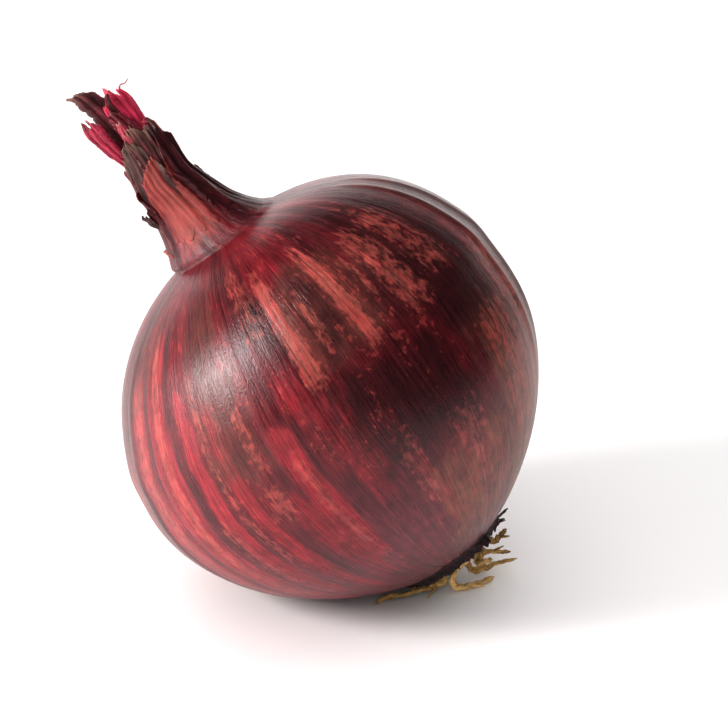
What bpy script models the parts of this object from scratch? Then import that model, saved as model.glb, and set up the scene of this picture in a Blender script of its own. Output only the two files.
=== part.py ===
"""A red onion at rest on the flat spot of its bulb, its neck leaning over and its root end close to the table.

Z is up and the table is the plane z = 0. The origin is on the table, under the middle of the onion's box.
The onion is one rigid thing made of pieces that grew together: the bulb with its neck, the basal plate
under it, the dried roots that leave the plate, and the dried leaf ends that leave the neck.

The bulb, the plate and the leaf ends are drawn in the onion's own frame, whose Z is the onion's axis:
height 0 is the bulb's widest section, the neck is up, and -Y is the side that faces the front.
Each root leaves the plate in that frame, and goes on through places that are given over the table.
"""

import math

import bmesh
import bpy
import numpy as np
from mathutils import Matrix, Vector

MM = 0.001

# How the onion lies: its axis leans over towards -X, after a turn about that axis.
LEAN = math.radians(36.8)
TURN = math.radians(17.4)
BULB_MIDDLE = (3.43 * MM, -0.16 * MM)
FLAT_SPOT_DEPTH = 0.6 * MM

# Bulb: a flattened half-oval above its widest section and a longer, rounder one below it.
GIRTH_HEIGHT = -0.3 * MM
GIRTH_RADIUS = 38.85 * MM
CROWN_RISE = 33.65 * MM
CROWN_SQUARENESS = 2.45
ROOT_DEPTH = 39.1 * MM
ROOT_SQUARENESS = 1.515
LOBE_SHARE = 0.006

# Neck: a thin core that flares out into the shoulders of the bulb.
NECK_CORE_RADIUS = 3.35 * MM
NECK_FLARE = 6.8 * MM
NECK_FLARE_FROM = 33.8 * MM
NECK_FLARE_LENGTH = 8.7 * MM
NECK_TOP = 52.6 * MM
NECK_JOIN_POWER = 16.0

# Midline: the bulb grew a little to one side. Heights, and how far the middle stands towards +X, in millimetres.
MIDLINE = [
    (-36.3, 0.0), (-10, 0.1), (0, 0.3), (10, 1.1), (20, 1.95), (31.5, 2.7),
    (34, 1.5), (38, 0.9), (43, 0.45), (46.5, -0.1), (49, 0.1), (52.6, 0.6),
]

# Basal plate: a low dome under the flat end of the bulb.
BULB_END = -36.3 * MM
PLATE_GAP = 0.35 * MM
PLATE_RADIUS = 10.4 * MM
PLATE_RIM = 0.8 * MM
PLATE_DOME = 1.4 * MM

BULB_SEGMENTS = 52
BULB_RINGS = 34
PLATE_SEGMENTS = 28
BLADE_STATIONS = 9
BLADE_COLUMNS = 5
ROOT_SIDES_RESOLUTION = 1
ROOT_GAP = 0.4 * MM

# Leaf ends: points along the blade's middle in the onion's frame, the half width at each of those points,
# the direction in which its outer face looks as an angle from +X in plan, how much it is rolled about its
# length, and its thickness. All lengths are in millimetres and all angles in degrees.
LEAF_ENDS = {
    "leaf_end_centre": {
        "route": [(-0.6, 0.2, 53.2), (-0.8, 0.2, 58.0), (-1.2, 0.0, 62.5), (-2.3, -0.3, 66.4), (-3.9, -0.4, 68.2)],
        "half_widths": [1.7, 2.0, 2.0, 1.7, 0.7],
        "faces": -78, "roll": 90, "thickness": 0.55,
    },
    "leaf_end_left": {
        "route": [(-3.5, -0.9, 53.2), (-4.4, -1.0, 56.5), (-4.9, -0.9, 60.0), (-4.9, -0.8, 63.6)],
        "half_widths": [0.9, 1.4, 1.5, 0.9],
        "faces": -140, "roll": 80, "thickness": 0.5,
    },
    "leaf_end_right": {
        "route": [(2.4, 0.2, 53.2), (2.9, 0.2, 58.0), (2.8, 0.1, 62.0), (2.1, 0.0, 66.2)],
        "half_widths": [1.1, 1.5, 1.7, 0.8],
        "faces": -60, "roll": 85, "thickness": 0.5,
    },
    "leaf_end_inner": {
        "route": [(0.7, -1.9, 53.2), (0.7, -2.1, 56.5), (0.2, -2.2, 59.5), (-0.4, -2.2, 62.4)],
        "half_widths": [1.3, 1.5, 1.2, 0.6],
        "faces": -90, "roll": 70, "thickness": 0.5,
    },
    "leaf_end_back": {
        "route": [(0.6, 2.6, 53.2), (0.8, 2.9, 56.5), (1.0, 3.1, 60.0), (1.1, 3.5, 63.2)],
        "half_widths": [1.8, 2.1, 1.8, 0.8],
        "faces": 85, "roll": 80, "thickness": 0.5,
    },
    "leaf_end_back_left": {
        "route": [(-2.6, 2.2, 53.2), (-3.2, 2.7, 56.0), (-3.6, 3.1, 58.6)],
        "half_widths": [1.1, 1.3, 0.6],
        "faces": 140, "roll": 60, "thickness": 0.5,
    },
    "husk_scrap_neck": {
        "route": [(-6.3, -3.0, 41.6), (-6.4, -3.0, 43.0), (-6.9, -3.1, 44.6)],
        "half_widths": [0.7, 0.9, 0.5],
        "faces": -150, "roll": 40, "thickness": 0.5,
    },
}

# Roots: where each leaves the plate, as a direction round it and a share of its radius, its thickness there
# and at its tip, and the places that it passes. Those are in millimetres and square to the table, counted
# from the point of the table that is straight under the bulb's middle.
ROOTS = {
    "root_front_long": {
        "leaves": (-135, 0.60), "thick": (1.2, 0.6),
        "passes": [(19.2, -6.5, 1.7), (16.1, -8.5, 1.4), (12.6, -9.7, 1.2), (10.9, -11.0, 0.8), (10.1, -12.1, 0.5)],
    },
    "root_pale_low": {
        "leaves": (-115, 0.42), "thick": (1.2, 0.9),
        "passes": [(23.2, -3.9, 1.5), (24.5, -4.1, 0.9), (26.4, -2.9, 0.7), (28.1, -1.4, 0.6), (30.5, 1.1, 0.7)],
    },
    "root_pale_curl": {
        "leaves": (-45, 0.22), "thick": (1.0, 0.8),
        "passes": [(25.0, -2.1, 4.4), (23.6, -2.3, 3.7), (22.6, -2.7, 3.2), (21.4, -2.9, 2.7)],
    },
    "root_right_long": {
        "leaves": (-20, 0.10), "thick": (1.1, 0.7),
        "passes": [(26.2, 0.8, 2.2), (28.6, 2.4, 1.6), (30.3, 4.6, 1.7), (32.2, 5.6, 1.8), (34.4, 6.5, 2.1)],
    },
    "root_right_bright": {
        "leaves": (-20, 0.40), "thick": (1.1, 0.8),
        "passes": [(27.3, -0.2, 4.0), (28.2, 1.6, 3.3), (30.0, 3.5, 3.1)],
    },
    "root_right_bent": {
        "leaves": (30, 0.42), "thick": (1.1, 0.7),
        "passes": [(28.4, 4.1, 4.4), (29.9, 5.0, 3.9), (31.4, 5.7, 3.7), (33.2, 6.4, 3.5)],
    },
    "root_right_high": {
        "leaves": (4, 0.62), "thick": (1.0, 0.8),
        "passes": [(30.2, 2.8, 7.0), (31.2, 3.6, 7.8), (32.4, 4.3, 9.0)],
    },
    "root_stub_right": {
        "leaves": (52, 0.62), "thick": (0.8, 0.5),
        "passes": [(28.6, 6.6, 5.8), (29.9, 6.9, 5.9)],
    },
    "root_stub_front": {
        "leaves": (-52, 0.62), "thick": (0.9, 0.5),
        "passes": [(27.6, -3.9, 6.0), (28.3, -4.8, 6.8)],
    },
    "root_back_long": {
        "leaves": (118, 0.55), "thick": (1.1, 0.5),
        "passes": [(21.3, 7.6, 0.9), (22.3, 11.2, 0.7), (24.1, 14.2, 0.7), (24.5, 17.6, 0.5)],
    },
    "root_back_low": {
        "leaves": (104, 0.80), "thick": (1.0, 0.5),
        "passes": [(18.7, 10.4, 1.4), (16.1, 11.6, 0.8), (13.9, 13.6, 0.7), (11.1, 14.4, 0.5)],
    },
    "root_back_curl": {
        "leaves": (78, 0.60), "thick": (1.0, 0.6),
        "passes": [(26.3, 7.8, 3.6), (27.9, 10.4, 3.4), (27.3, 12.8, 2.6), (28.9, 15.0, 1.6)],
    },
    "root_stub_back": {
        "leaves": (88, 0.84), "thick": (0.8, 0.5),
        "passes": [(24.3, 10.6, 5.0), (25.3, 11.8, 5.6)],
    },
    "root_stub_low": {
        "leaves": (-178, 0.30), "thick": (0.9, 0.6),
        "passes": [(21.6, -1.2, 1.5), (20.2, -1.4, 0.8)],
    },
}

SKIN_COLOUR = (0.10, 0.010, 0.014)
PLATE_COLOUR = (0.020, 0.005, 0.006)
ROOT_COLOUR = (0.30, 0.17, 0.055)
LEAF_COLOUR = (0.14, 0.010, 0.025)


def clear_scene():
    for obj in list(bpy.data.objects):
        bpy.data.objects.remove(obj)


def material(name, colour, roughness):
    """A Principled material of one colour, for a piece that has no metal in it."""
    made = bpy.data.materials.new(name)
    made.use_nodes = True
    shader = made.node_tree.nodes["Principled BSDF"]
    shader.inputs["Base Color"].default_value = (*colour, 1)
    shader.inputs["Roughness"].default_value = roughness
    shader.inputs["Metallic"].default_value = 0
    made.diffuse_color = (*colour, 1)
    return made


def profile_radius(height):
    """The onion's radius at each height on its axis: two half-ovals for the bulb, a dying flare for the neck."""
    up = np.clip((height - GIRTH_HEIGHT) / CROWN_RISE, 0, 1)
    down = np.clip((GIRTH_HEIGHT - height) / ROOT_DEPTH, 0, 1)
    crown = (1 - up**2) ** (1 / CROWN_SQUARENESS)
    root_end = (1 - down**2) ** (1 / ROOT_SQUARENESS)
    bulb = GIRTH_RADIUS * np.where(up > 0, crown, root_end)
    neck = up * (NECK_CORE_RADIUS + NECK_FLARE * np.exp((NECK_FLARE_FROM - height) / NECK_FLARE_LENGTH))
    return (bulb**NECK_JOIN_POWER + neck**NECK_JOIN_POWER) ** (1 / NECK_JOIN_POWER)


def even_profile(count):
    """Heights and radii of the profile at equal steps along its line, from the root end to the neck's top."""
    height = np.linspace(BULB_END, NECK_TOP, 4000)
    radius = profile_radius(height)
    along = np.concatenate([[0], np.cumsum(np.hypot(np.diff(height), np.diff(radius)))])
    even = np.linspace(0, along[-1], count)
    return np.interp(even, along, height), np.interp(even, along, radius)


def midline(heights):
    """How far the onion's middle stands to the side of its axis at each height: a smooth curve through MIDLINE."""
    line = smooth_route(MIDLINE, 8) * MM
    return np.interp(heights, line[:, 0], line[:, 1])


def new_object(name, mesh, look, parent=None):
    mesh.shade_smooth()
    mesh.materials.append(look)
    obj = bpy.data.objects.new(name, mesh)
    bpy.context.scene.collection.objects.link(obj)
    obj.parent = parent
    return obj


def spin_profile(heights, radii, segments):
    """A bmesh of the profile turned once round Z, with its two ends closed by one face each."""
    shape = bmesh.new()
    points = [shape.verts.new((0, -r, h)) for h, r in zip(heights, radii)]
    edges = [shape.edges.new(pair) for pair in zip(points, points[1:])]
    bmesh.ops.spin(
        shape, geom=points + edges, cent=(0, 0, 0), axis=(0, 0, 1), steps=segments, angle=2 * math.pi,
        use_merge=False,
    )
    bmesh.ops.remove_doubles(shape, verts=shape.verts, dist=0.01 * MM)
    bmesh.ops.holes_fill(shape, edges=shape.edges, sides=segments)
    bmesh.ops.recalc_face_normals(shape, faces=shape.faces)
    return shape


def bulb_shape():
    """The turned bulb with slight lobes round it, each of its rings moved to the midline."""
    shape = spin_profile(*even_profile(BULB_RINGS), BULB_SEGMENTS)
    moves = midline([vert.co.z for vert in shape.verts])
    for vert, move in zip(shape.verts, moves):
        around = math.atan2(vert.co.x, -vert.co.y)
        lobe = 1 + LOBE_SHARE * math.cos(2 * around) / 2 + LOBE_SHARE * math.sin(3 * around) / 3
        vert.co.x = vert.co.x * lobe + move
        vert.co.y *= lobe
    return shape


def lie_down(shape):
    """The matrix that lays the onion on the table, so that the table takes off FLAT_SPOT_DEPTH of the bulb."""
    turned = Matrix.Rotation(-LEAN, 4, "Y") @ Matrix.Rotation(TURN, 4, "Z")
    lowest = min((turned @ vert.co).z for vert in shape.verts)
    return Matrix.Translation((*BULB_MIDDLE, -lowest - FLAT_SPOT_DEPTH)) @ turned


def cut_flat_spot(shape, placed):
    """Cuts the bulb where the table would be, and closes it with one flat face."""
    to_own = placed.inverted()
    cut = bmesh.ops.bisect_plane(
        shape, geom=shape.verts[:] + shape.edges[:] + shape.faces[:], dist=0.001 * MM,
        plane_co=to_own @ Vector((0, 0, 0)), plane_no=to_own.to_3x3() @ Vector((0, 0, -1)), clear_outer=True,
    )
    rim = [item for item in cut["geom_cut"] if isinstance(item, bmesh.types.BMEdge)]
    bmesh.ops.edgeloop_fill(shape, edges=rim)
    bmesh.ops.recalc_face_normals(shape, faces=shape.faces)


def to_mesh(shape, name):
    mesh = bpy.data.meshes.new(name)
    shape.to_mesh(mesh)
    shape.free()
    return mesh


def add_plate(axis, look):
    """The basal plate: a thin straight rim and a low dome, the gap below the bulb's flat end."""
    top = BULB_END - PLATE_GAP
    quarter = np.linspace(0, math.pi / 2, 7)[:-1]
    heights = [top - PLATE_RIM - PLATE_DOME * math.sin(angle) for angle in quarter]
    radii = [PLATE_RADIUS * math.cos(angle) for angle in quarter]
    shape = spin_profile([top, *heights], [PLATE_RADIUS, *radii], PLATE_SEGMENTS)
    new_object("basal_plate", to_mesh(shape, "basal_plate"), look, axis)


def plate_exit(direction, share):
    """A point of the plate's dome and the outward direction there, in the onion's frame."""
    around = math.radians(direction)
    flat = Vector((math.cos(around), math.sin(around), 0))
    depth = PLATE_DOME * math.sqrt(1 - share**2)
    point = flat * PLATE_RADIUS * share + Vector((0, 0, BULB_END - PLATE_GAP - PLATE_RIM - depth))
    normal = flat * share / PLATE_RADIUS + Vector((0, 0, -depth / PLATE_DOME**2))
    return point, normal.normalized()


def smooth_route(points, per_span):
    """Points on the Catmull-Rom curve through the given ones, per_span to each stretch between two of them."""
    given = np.array([list(point) for point in points], float)
    padded = np.vstack([2 * given[0] - given[1], given, 2 * given[-1] - given[-2]])
    share = np.linspace(0, 1, per_span, endpoint=False)[:, None]
    spans = []
    for a, b, c, d in zip(padded, padded[1:], padded[2:], padded[3:]):
        spans.append(
            0.5 * (2 * b + (c - a) * share + (2 * a - 5 * b + 4 * c - d) * share**2
                   + (3 * b - a - 3 * c + d) * share**3)
        )
    return np.vstack([*spans, given[-1:]])


def add_root(name, root, placed, look):
    """A root as a tapering tube that starts just off the plate and runs through its places."""
    start, outward = plate_exit(*root["leaves"])
    start_thick, end_thick = (size * MM for size in root["thick"])
    first = placed @ (start + outward * ROOT_GAP)
    second = placed @ (start + outward * (ROOT_GAP + 1.2 * MM))
    under_bulb = Vector((*BULB_MIDDLE, 0))
    places = [under_bulb + Vector(place) * MM for place in root["passes"]]
    points = smooth_route([first, second, *places], 3)
    curve = bpy.data.curves.new(name, "CURVE")
    curve.dimensions = "3D"
    curve.bevel_depth = 1
    curve.bevel_resolution = ROOT_SIDES_RESOLUTION
    curve.use_fill_caps = True
    line = curve.splines.new("POLY")
    line.points.add(len(points) - 1)
    for index, (spot, point) in enumerate(zip(points, line.points)):
        point.co = (*spot, 1)
        share = index / (len(points) - 1)
        point.radius = (start_thick + (end_thick - start_thick) * share) / 2
    curve.materials.append(look)
    obj = bpy.data.objects.new(name, curve)
    bpy.context.scene.collection.objects.link(obj)


def add_leaf_end(name, leaf, axis, look):
    """A leaf end as a curved strip with a thickness: each cross-section is an arc about the strip's length."""
    route = smooth_route([Vector(point) * MM for point in leaf["route"]], 4)
    pick = np.linspace(0, len(route) - 1, BLADE_STATIONS)
    steps = np.arange(len(route))
    middle = np.stack([np.interp(pick, steps, route[:, k]) for k in range(3)], axis=1)
    given = np.linspace(0, 1, len(leaf["half_widths"]))
    half = np.interp(np.linspace(0, 1, BLADE_STATIONS), given, leaf["half_widths"]) * MM
    faces = math.radians(leaf["faces"])
    out = np.array([math.cos(faces), math.sin(faces), 0])
    side = np.array([-math.sin(faces), math.cos(faces), 0])
    angle = np.linspace(-1, 1, BLADE_COLUMNS) * math.radians(leaf["roll"]) / 2
    radius = half[:, None] / math.sin(angle[-1])
    across = (radius * np.sin(angle))[..., None] * side
    sunk = (radius * (1 - np.cos(angle)))[..., None] * out
    points = (middle[:, None, :] + across - sunk).reshape(-1, 3)
    quads = [
        (row * BLADE_COLUMNS + column, row * BLADE_COLUMNS + column + 1,
         (row + 1) * BLADE_COLUMNS + column + 1, (row + 1) * BLADE_COLUMNS + column)
        for row in range(BLADE_STATIONS - 1)
        for column in range(BLADE_COLUMNS - 1)
    ]
    mesh = bpy.data.meshes.new(name)
    mesh.from_pydata(points.tolist(), [], quads)
    obj = new_object(name, mesh, look, axis)
    wall = obj.modifiers.new("wall", "SOLIDIFY")
    wall.thickness = leaf["thickness"] * MM
    wall.offset = 0


def main():
    clear_scene()
    skin = material("onion_skin", SKIN_COLOUR, 0.35)
    plate = material("root_plate", PLATE_COLOUR, 0.8)
    dry_root = material("dry_root", ROOT_COLOUR, 0.8)
    dry_leaf = material("dry_leaf", LEAF_COLOUR, 0.5)

    shape = bulb_shape()
    placed = lie_down(shape)
    cut_flat_spot(shape, placed)
    axis = bpy.data.objects.new("onion_axis", None)
    bpy.context.scene.collection.objects.link(axis)
    axis.matrix_world = placed
    new_object("bulb", to_mesh(shape, "bulb"), skin, axis)
    add_plate(axis, plate)
    for name, leaf in LEAF_ENDS.items():
        add_leaf_end(name, leaf, axis, dry_leaf)
    for name, root in ROOTS.items():
        add_root(name, root, placed, dry_root)


main()
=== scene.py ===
"""A red onion with its dried neck, leaf ends, basal plate and roots, made of worked-out surfaces."""

import math

import bpy
import numpy as np
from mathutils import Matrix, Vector


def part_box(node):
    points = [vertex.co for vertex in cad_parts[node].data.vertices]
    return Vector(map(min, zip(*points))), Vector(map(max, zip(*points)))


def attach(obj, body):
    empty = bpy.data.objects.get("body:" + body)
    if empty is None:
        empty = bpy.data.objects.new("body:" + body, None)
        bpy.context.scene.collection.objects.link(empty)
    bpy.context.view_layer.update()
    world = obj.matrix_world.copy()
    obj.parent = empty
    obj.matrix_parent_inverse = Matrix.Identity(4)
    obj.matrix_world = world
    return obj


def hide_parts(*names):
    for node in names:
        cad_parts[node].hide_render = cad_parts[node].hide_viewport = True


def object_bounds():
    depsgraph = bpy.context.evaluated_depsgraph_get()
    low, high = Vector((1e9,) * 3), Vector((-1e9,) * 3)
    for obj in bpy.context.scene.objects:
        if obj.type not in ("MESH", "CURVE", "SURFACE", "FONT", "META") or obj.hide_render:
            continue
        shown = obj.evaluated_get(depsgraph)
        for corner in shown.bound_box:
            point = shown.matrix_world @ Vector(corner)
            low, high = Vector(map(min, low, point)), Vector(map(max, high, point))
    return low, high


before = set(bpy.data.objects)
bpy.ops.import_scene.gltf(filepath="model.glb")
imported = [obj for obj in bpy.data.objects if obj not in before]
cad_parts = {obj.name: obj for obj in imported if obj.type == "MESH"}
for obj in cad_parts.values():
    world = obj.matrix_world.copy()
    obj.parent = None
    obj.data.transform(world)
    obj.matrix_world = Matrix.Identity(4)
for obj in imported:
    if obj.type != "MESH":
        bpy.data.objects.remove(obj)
CAD_BOX = [list(corner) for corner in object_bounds()]

bl_info = {
    "name": "Red Onion",
    "version": (1, 0, 0),
    "blender": (4, 5, 0),
    "location": "View3D > Sidebar > Red Onion",
    "description": "Makes a red onion from its skin, neck sheaths, leaf ends, basal plate and roots",
    "category": "Add Mesh",
}

MM = 0.001

# How the onion lies and the shape of its bulb, as the solid model has them.
LEAN = math.radians(36.8)
TURN = math.radians(17.4)
GIRTH_HEIGHT = -0.3
GIRTH_RADIUS = 38.85
CROWN_RISE = 33.65
CROWN_SQUARENESS = 2.45
ROOT_DEPTH = 39.1
ROOT_SQUARENESS = 1.515
LOBE_SHARE = 0.006
NECK_CORE_RADIUS = 3.35
NECK_FLARE = 6.8
NECK_FLARE_FROM = 33.8
NECK_FLARE_LENGTH = 8.7
NECK_TOP = 52.6
NECK_JOIN_POWER = 16.0
BULB_END = -36.3
PLATE_RADIUS = 10.4
PLATE_TOP = -36.65
PLATE_RIM = 0.8
PLATE_DOME = 1.4
MIDLINE = [
    (-36.3, 0.0), (-10, 0.1), (0, 0.3), (10, 1.1), (20, 1.95), (31.5, 2.7),
    (34, 1.5), (38, 0.9), (43, 0.45), (46.5, -0.1), (49, 0.1), (52.6, 0.6),
]
UNDER_BULB = np.array([3.43, -0.16, 0.0])


# ---- Plain shape helpers -------------------------------------------------------------------------


def named(keys, *rows):
    """Each row's name, with its other values under the shared keys."""
    return {name: dict(zip(keys, values)) for name, *values in rows}


def signed(degrees):
    """The same direction, from -180 to 180 degrees."""
    return (degrees + 180) % 360 - 180


def run_length(line):
    """How far each place of a line is from its start, along it."""
    return np.concatenate([[0], np.cumsum(np.linalg.norm(np.diff(line, axis=0), axis=1))])


def smooth_route(points, per_span):
    """Catmull-Rom curve: each stretch between two places is the cubic set by them and their neighbours."""
    given = np.array([list(point) for point in points], float)
    padded = np.vstack([2 * given[0] - given[1], given, 2 * given[-1] - given[-2]])
    a, b, c, d = padded[:-3, None], padded[1:-2, None], padded[2:-1, None], padded[3:, None]
    t = np.linspace(0, 1, per_span, endpoint=False)[None, :, None]
    spans = 0.5 * (
        2 * b + (c - a) * t + (2 * a - 5 * b + 4 * c - d) * t**2 + (3 * b - a - 3 * c + d) * t**3
    )
    return np.vstack([spans.reshape(-1, given.shape[1]), given[-1:]])


def along_route(points, stations):
    """Places at equal steps of length along the smooth curve through the given points."""
    line = smooth_route(points, 24)
    length = run_length(line)
    even = np.linspace(0, length[-1], stations)
    return np.stack([np.interp(even, length, line[:, k]) for k in range(line.shape[1])], axis=1)


def ease(value, low, high):
    """0 below low, 1 above high, and three times the square less twice the cube of the share between."""
    share = np.clip((value - low) / (high - low), 0, 1)
    return share * share * (3 - 2 * share)


def within(value, low, high, soft_low, soft_high):
    """1 from low to high, eased down to 0 over the soft distance beyond each."""
    return ease(value, low - soft_low, low) * (1 - ease(value, high, high + soft_high))


def shares(count):
    """A column of even shares from 0 to 1."""
    return np.linspace(0, 1, count)[:, None]


def full_turn(count, start=0.0):
    """Even directions once round, in radians."""
    return np.linspace(start, start + 2 * math.pi, count, endpoint=False)


def waver(t, seed, first=3, last=24, fall=1.0):
    """A ragged line of about -1 to 1: sines of seeded phase, each weaker by its count to the power fall."""
    draw = np.random.default_rng(seed)
    counts = np.arange(first, last + 1)
    phases = draw.uniform(0, 2 * math.pi, len(counts))
    weights = draw.uniform(0.5, 1.0, len(counts)) / counts**fall
    waves = np.sin(np.asarray(t)[..., None] * counts * 2 * math.pi + phases)
    return (waves * weights).sum(-1) / np.sqrt((weights**2).sum() * 2) / 1.2


def ripple(around, height, seed, counts, drift=0.02):
    """Waves round the onion that wander with height: sines of whole counts of the angle, phases moved
    by height."""
    draw = np.random.default_rng(seed)
    counts = np.array(counts)
    phases = draw.uniform(0, 2 * math.pi, len(counts))
    wander = draw.uniform(-drift, drift, len(counts))
    inner = around[..., None] * counts + phases + height[..., None] * wander * np.sqrt(counts)
    return np.sin(inner).mean(-1)


def profile_radius(height):
    """Radius at a height: two half-ovals for the bulb and a dying flare for the neck, the larger of
    them, eased."""
    up = np.clip((height - GIRTH_HEIGHT) / CROWN_RISE, 0, 1)
    down = np.clip((GIRTH_HEIGHT - height) / ROOT_DEPTH, 0, 1)
    crown = (1 - up**2) ** (1 / CROWN_SQUARENESS)
    root_end = (1 - down**2) ** (1 / ROOT_SQUARENESS)
    bulb = GIRTH_RADIUS * np.where(up > 0, crown, root_end)
    flare = NECK_FLARE * np.exp((NECK_FLARE_FROM - height) / NECK_FLARE_LENGTH)
    neck = up * (NECK_CORE_RADIUS + flare)
    return (bulb**NECK_JOIN_POWER + neck**NECK_JOIN_POWER) ** (1 / NECK_JOIN_POWER)


def round_place(around, height, radius):
    """A place round the onion: the radius with its slight lobes, then moved sideways to the midline."""
    line = smooth_route(MIDLINE, 8)
    lobe = 1 + LOBE_SHARE * np.cos(2 * around) / 2 + LOBE_SHARE * np.sin(3 * around) / 3
    shift = np.interp(height, line[:, 0], line[:, 1])
    x = radius * np.sin(around) * lobe + shift
    y = -radius * np.cos(around) * lobe
    return np.stack([x, y, height + 0 * x], axis=-1)


def lying_turn():
    """The turn that lays the onion down: TURN about its own axis, then LEAN over towards -X."""
    c, s = math.cos(TURN), math.sin(TURN)
    own = np.array([[c, -s, 0], [s, c, 0], [0, 0, 1]])
    c, s = math.cos(LEAN), math.sin(LEAN)
    over = np.array([[c, 0, -s], [0, 1, 0], [s, 0, c]])
    return over @ own


def own_place(over_table):
    """A place in the onion's own frame, from one over the table counted from the point under the bulb."""
    return (UNDER_BULB + np.array(over_table) - lying_middle()) @ lying_turn()


def even_heights(rows):
    """Heights at equal steps along the profile's line, from the root end to the neck's top."""
    height = np.linspace(BULB_END, NECK_TOP, 4000)
    radius = profile_radius(height)
    length = run_length(np.stack([height, radius], axis=1))
    return np.interp(np.linspace(0, length[-1], rows), length, height)


def lying_middle():
    """Where the onion's own middle stands: the plain bulb's highest corner is set on that of the solid
    one."""
    around, height = np.meshgrid(np.linspace(0, 2 * math.pi, 208), even_heights(400))
    plain = round_place(around, height, profile_radius(height)).reshape(-1, 3) @ lying_turn().T
    return np.array(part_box("bulb")[1]) / MM - plain.max(axis=0)


def lay(points):
    """Places of the onion's own frame, in millimetres, laid down on the table in metres."""
    return (points @ lying_turn().T + lying_middle()) * MM


def sheet_mesh(name, points, wrap=False, caps=False):
    """A mesh over a grid of places: rows by columns, closed round when wrap is set and with a pole at
    each end."""
    rows, columns = points.shape[:2]
    index = np.arange(rows * columns).reshape(rows, columns)
    beside = np.roll(index, -1, axis=1) if wrap else index[:, 1:]
    here = index if wrap else index[:, :-1]
    quads = np.stack([here[:-1], beside[:-1], beside[1:], here[1:]], axis=-1).reshape(-1, 4)
    faces = quads.tolist()
    places = points.reshape(-1, 3)
    if caps:
        places = np.vstack([places, points[0].mean(axis=0), points[-1].mean(axis=0)])
        first, last = rows * columns, rows * columns + 1
        low = np.stack([np.full(columns, first), beside[0], here[0]], axis=-1)
        high = np.stack([np.full(columns, last), here[-1], beside[-1]], axis=-1)
        faces += low.tolist() + high.tolist()
    mesh = bpy.data.meshes.new(name)
    mesh.from_pydata(places.tolist(), [], faces)
    mesh.validate()
    mesh.shade_smooth()
    return mesh


def write_marks(mesh, name, *values):
    """Keeps three numbers at each point of the mesh; points past the grid take its last values."""
    values = np.stack(np.broadcast_arrays(*values), axis=-1).reshape(-1, 3)
    missing = len(mesh.vertices) - len(values)
    if missing:
        values = np.vstack([values, np.repeat(values[-1:], missing, axis=0)])
    kept = mesh.attributes.new(name, "FLOAT_VECTOR", "POINT")
    kept.data.foreach_set("vector", np.ascontiguousarray(values, np.float32).ravel())


def settle(mesh, name, look, nodes=(), wall=0.0):
    """Makes the piece of the mesh, gives it its material and wall, and ties it to the frame."""
    mesh.materials.append(look)
    piece = bpy.data.objects.new(name, mesh)
    bpy.context.scene.collection.objects.link(piece)
    if wall:
        thick = piece.modifiers.new("wall", "SOLIDIFY")
        thick.thickness = wall
        thick.offset = 0
    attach(piece, "root")
    if nodes:
        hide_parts(*nodes)
    return piece


# ---- Material helpers ----------------------------------------------------------------------------


def put(tree, kind, values=None, **settings):
    """Adds a node, sets it up, and fills its inputs with plain values or with links."""
    made = tree.nodes.new(kind)
    for name, value in settings.items():
        setattr(made, name, value)
    for key, value in (values or {}).items():
        if isinstance(value, bpy.types.NodeSocket):
            tree.links.new(value, made.inputs[key])
        else:
            made.inputs[key].default_value = value
    return made


def maths(tree, kind, a, b=0.0, clamp=False):
    return put(tree, "ShaderNodeMath", {0: a, 1: b}, operation=kind, use_clamp=clamp).outputs[0]


def times(tree, a, b):
    return maths(tree, "MULTIPLY", a, b)


def blend_colour(tree, share, a, b, kind="MIX"):
    """The second colour laid over the first by the share."""
    values = {0: share, 6: opaque(a), 7: opaque(b)}
    return put(tree, "ShaderNodeMix", values, data_type="RGBA", blend_type=kind).outputs[2]


def layer(tree, colour, share, strength, over):
    """The colour with another laid over it, by a share times a strength."""
    return blend_colour(tree, times(tree, share, strength), colour, over)


def shaded(tree, colour, *values):
    """The colour times the product of the values."""
    product = values[0]
    for value in values[1:]:
        product = times(tree, product, value)
    shade = put(tree, "ShaderNodeCombineXYZ", {0: product, 1: product, 2: product}).outputs[0]
    return blend_colour(tree, 1.0, colour, shade, "MULTIPLY")


def summed(tree, *parts):
    """The heights added up, each times its weight."""
    total = times(tree, *parts[0])
    for height, weight in parts[1:]:
        total = maths(tree, "ADD", total, times(tree, height, weight))
    return total


def opaque(colour):
    if isinstance(colour, bpy.types.NodeSocket):
        return colour
    return (*colour, 1.0)


def between(tree, value, low, high, to_low=0.0, to_high=1.0):
    """The value's place between low and high, eased, on to another span."""
    values = {0: value, 1: low, 2: high, 3: to_low, 4: to_high}
    return put(tree, "ShaderNodeMapRange", values, interpolation_type="SMOOTHSTEP").outputs[0]


def parts_of(tree, attribute):
    """The three numbers kept at each point under this name."""
    kept = put(tree, "ShaderNodeAttribute", attribute_name=attribute).outputs["Vector"]
    return put(tree, "ShaderNodeSeparateXYZ", {0: kept}).outputs


def new_group(name, inputs, outputs):
    """A shader node group with named inputs and outputs."""
    group = bpy.data.node_groups.new(name, "ShaderNodeTree")
    for label, kind, default in inputs:
        socket = group.interface.new_socket(label, in_out="INPUT", socket_type=kind)
        if default is not None:
            socket.default_value = default
    for label, kind in outputs:
        group.interface.new_socket(label, in_out="OUTPUT", socket_type=kind)
    start = group.nodes.new("NodeGroupInput")
    end = group.nodes.new("NodeGroupOutput")
    return group, start.outputs, end.inputs


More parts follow.
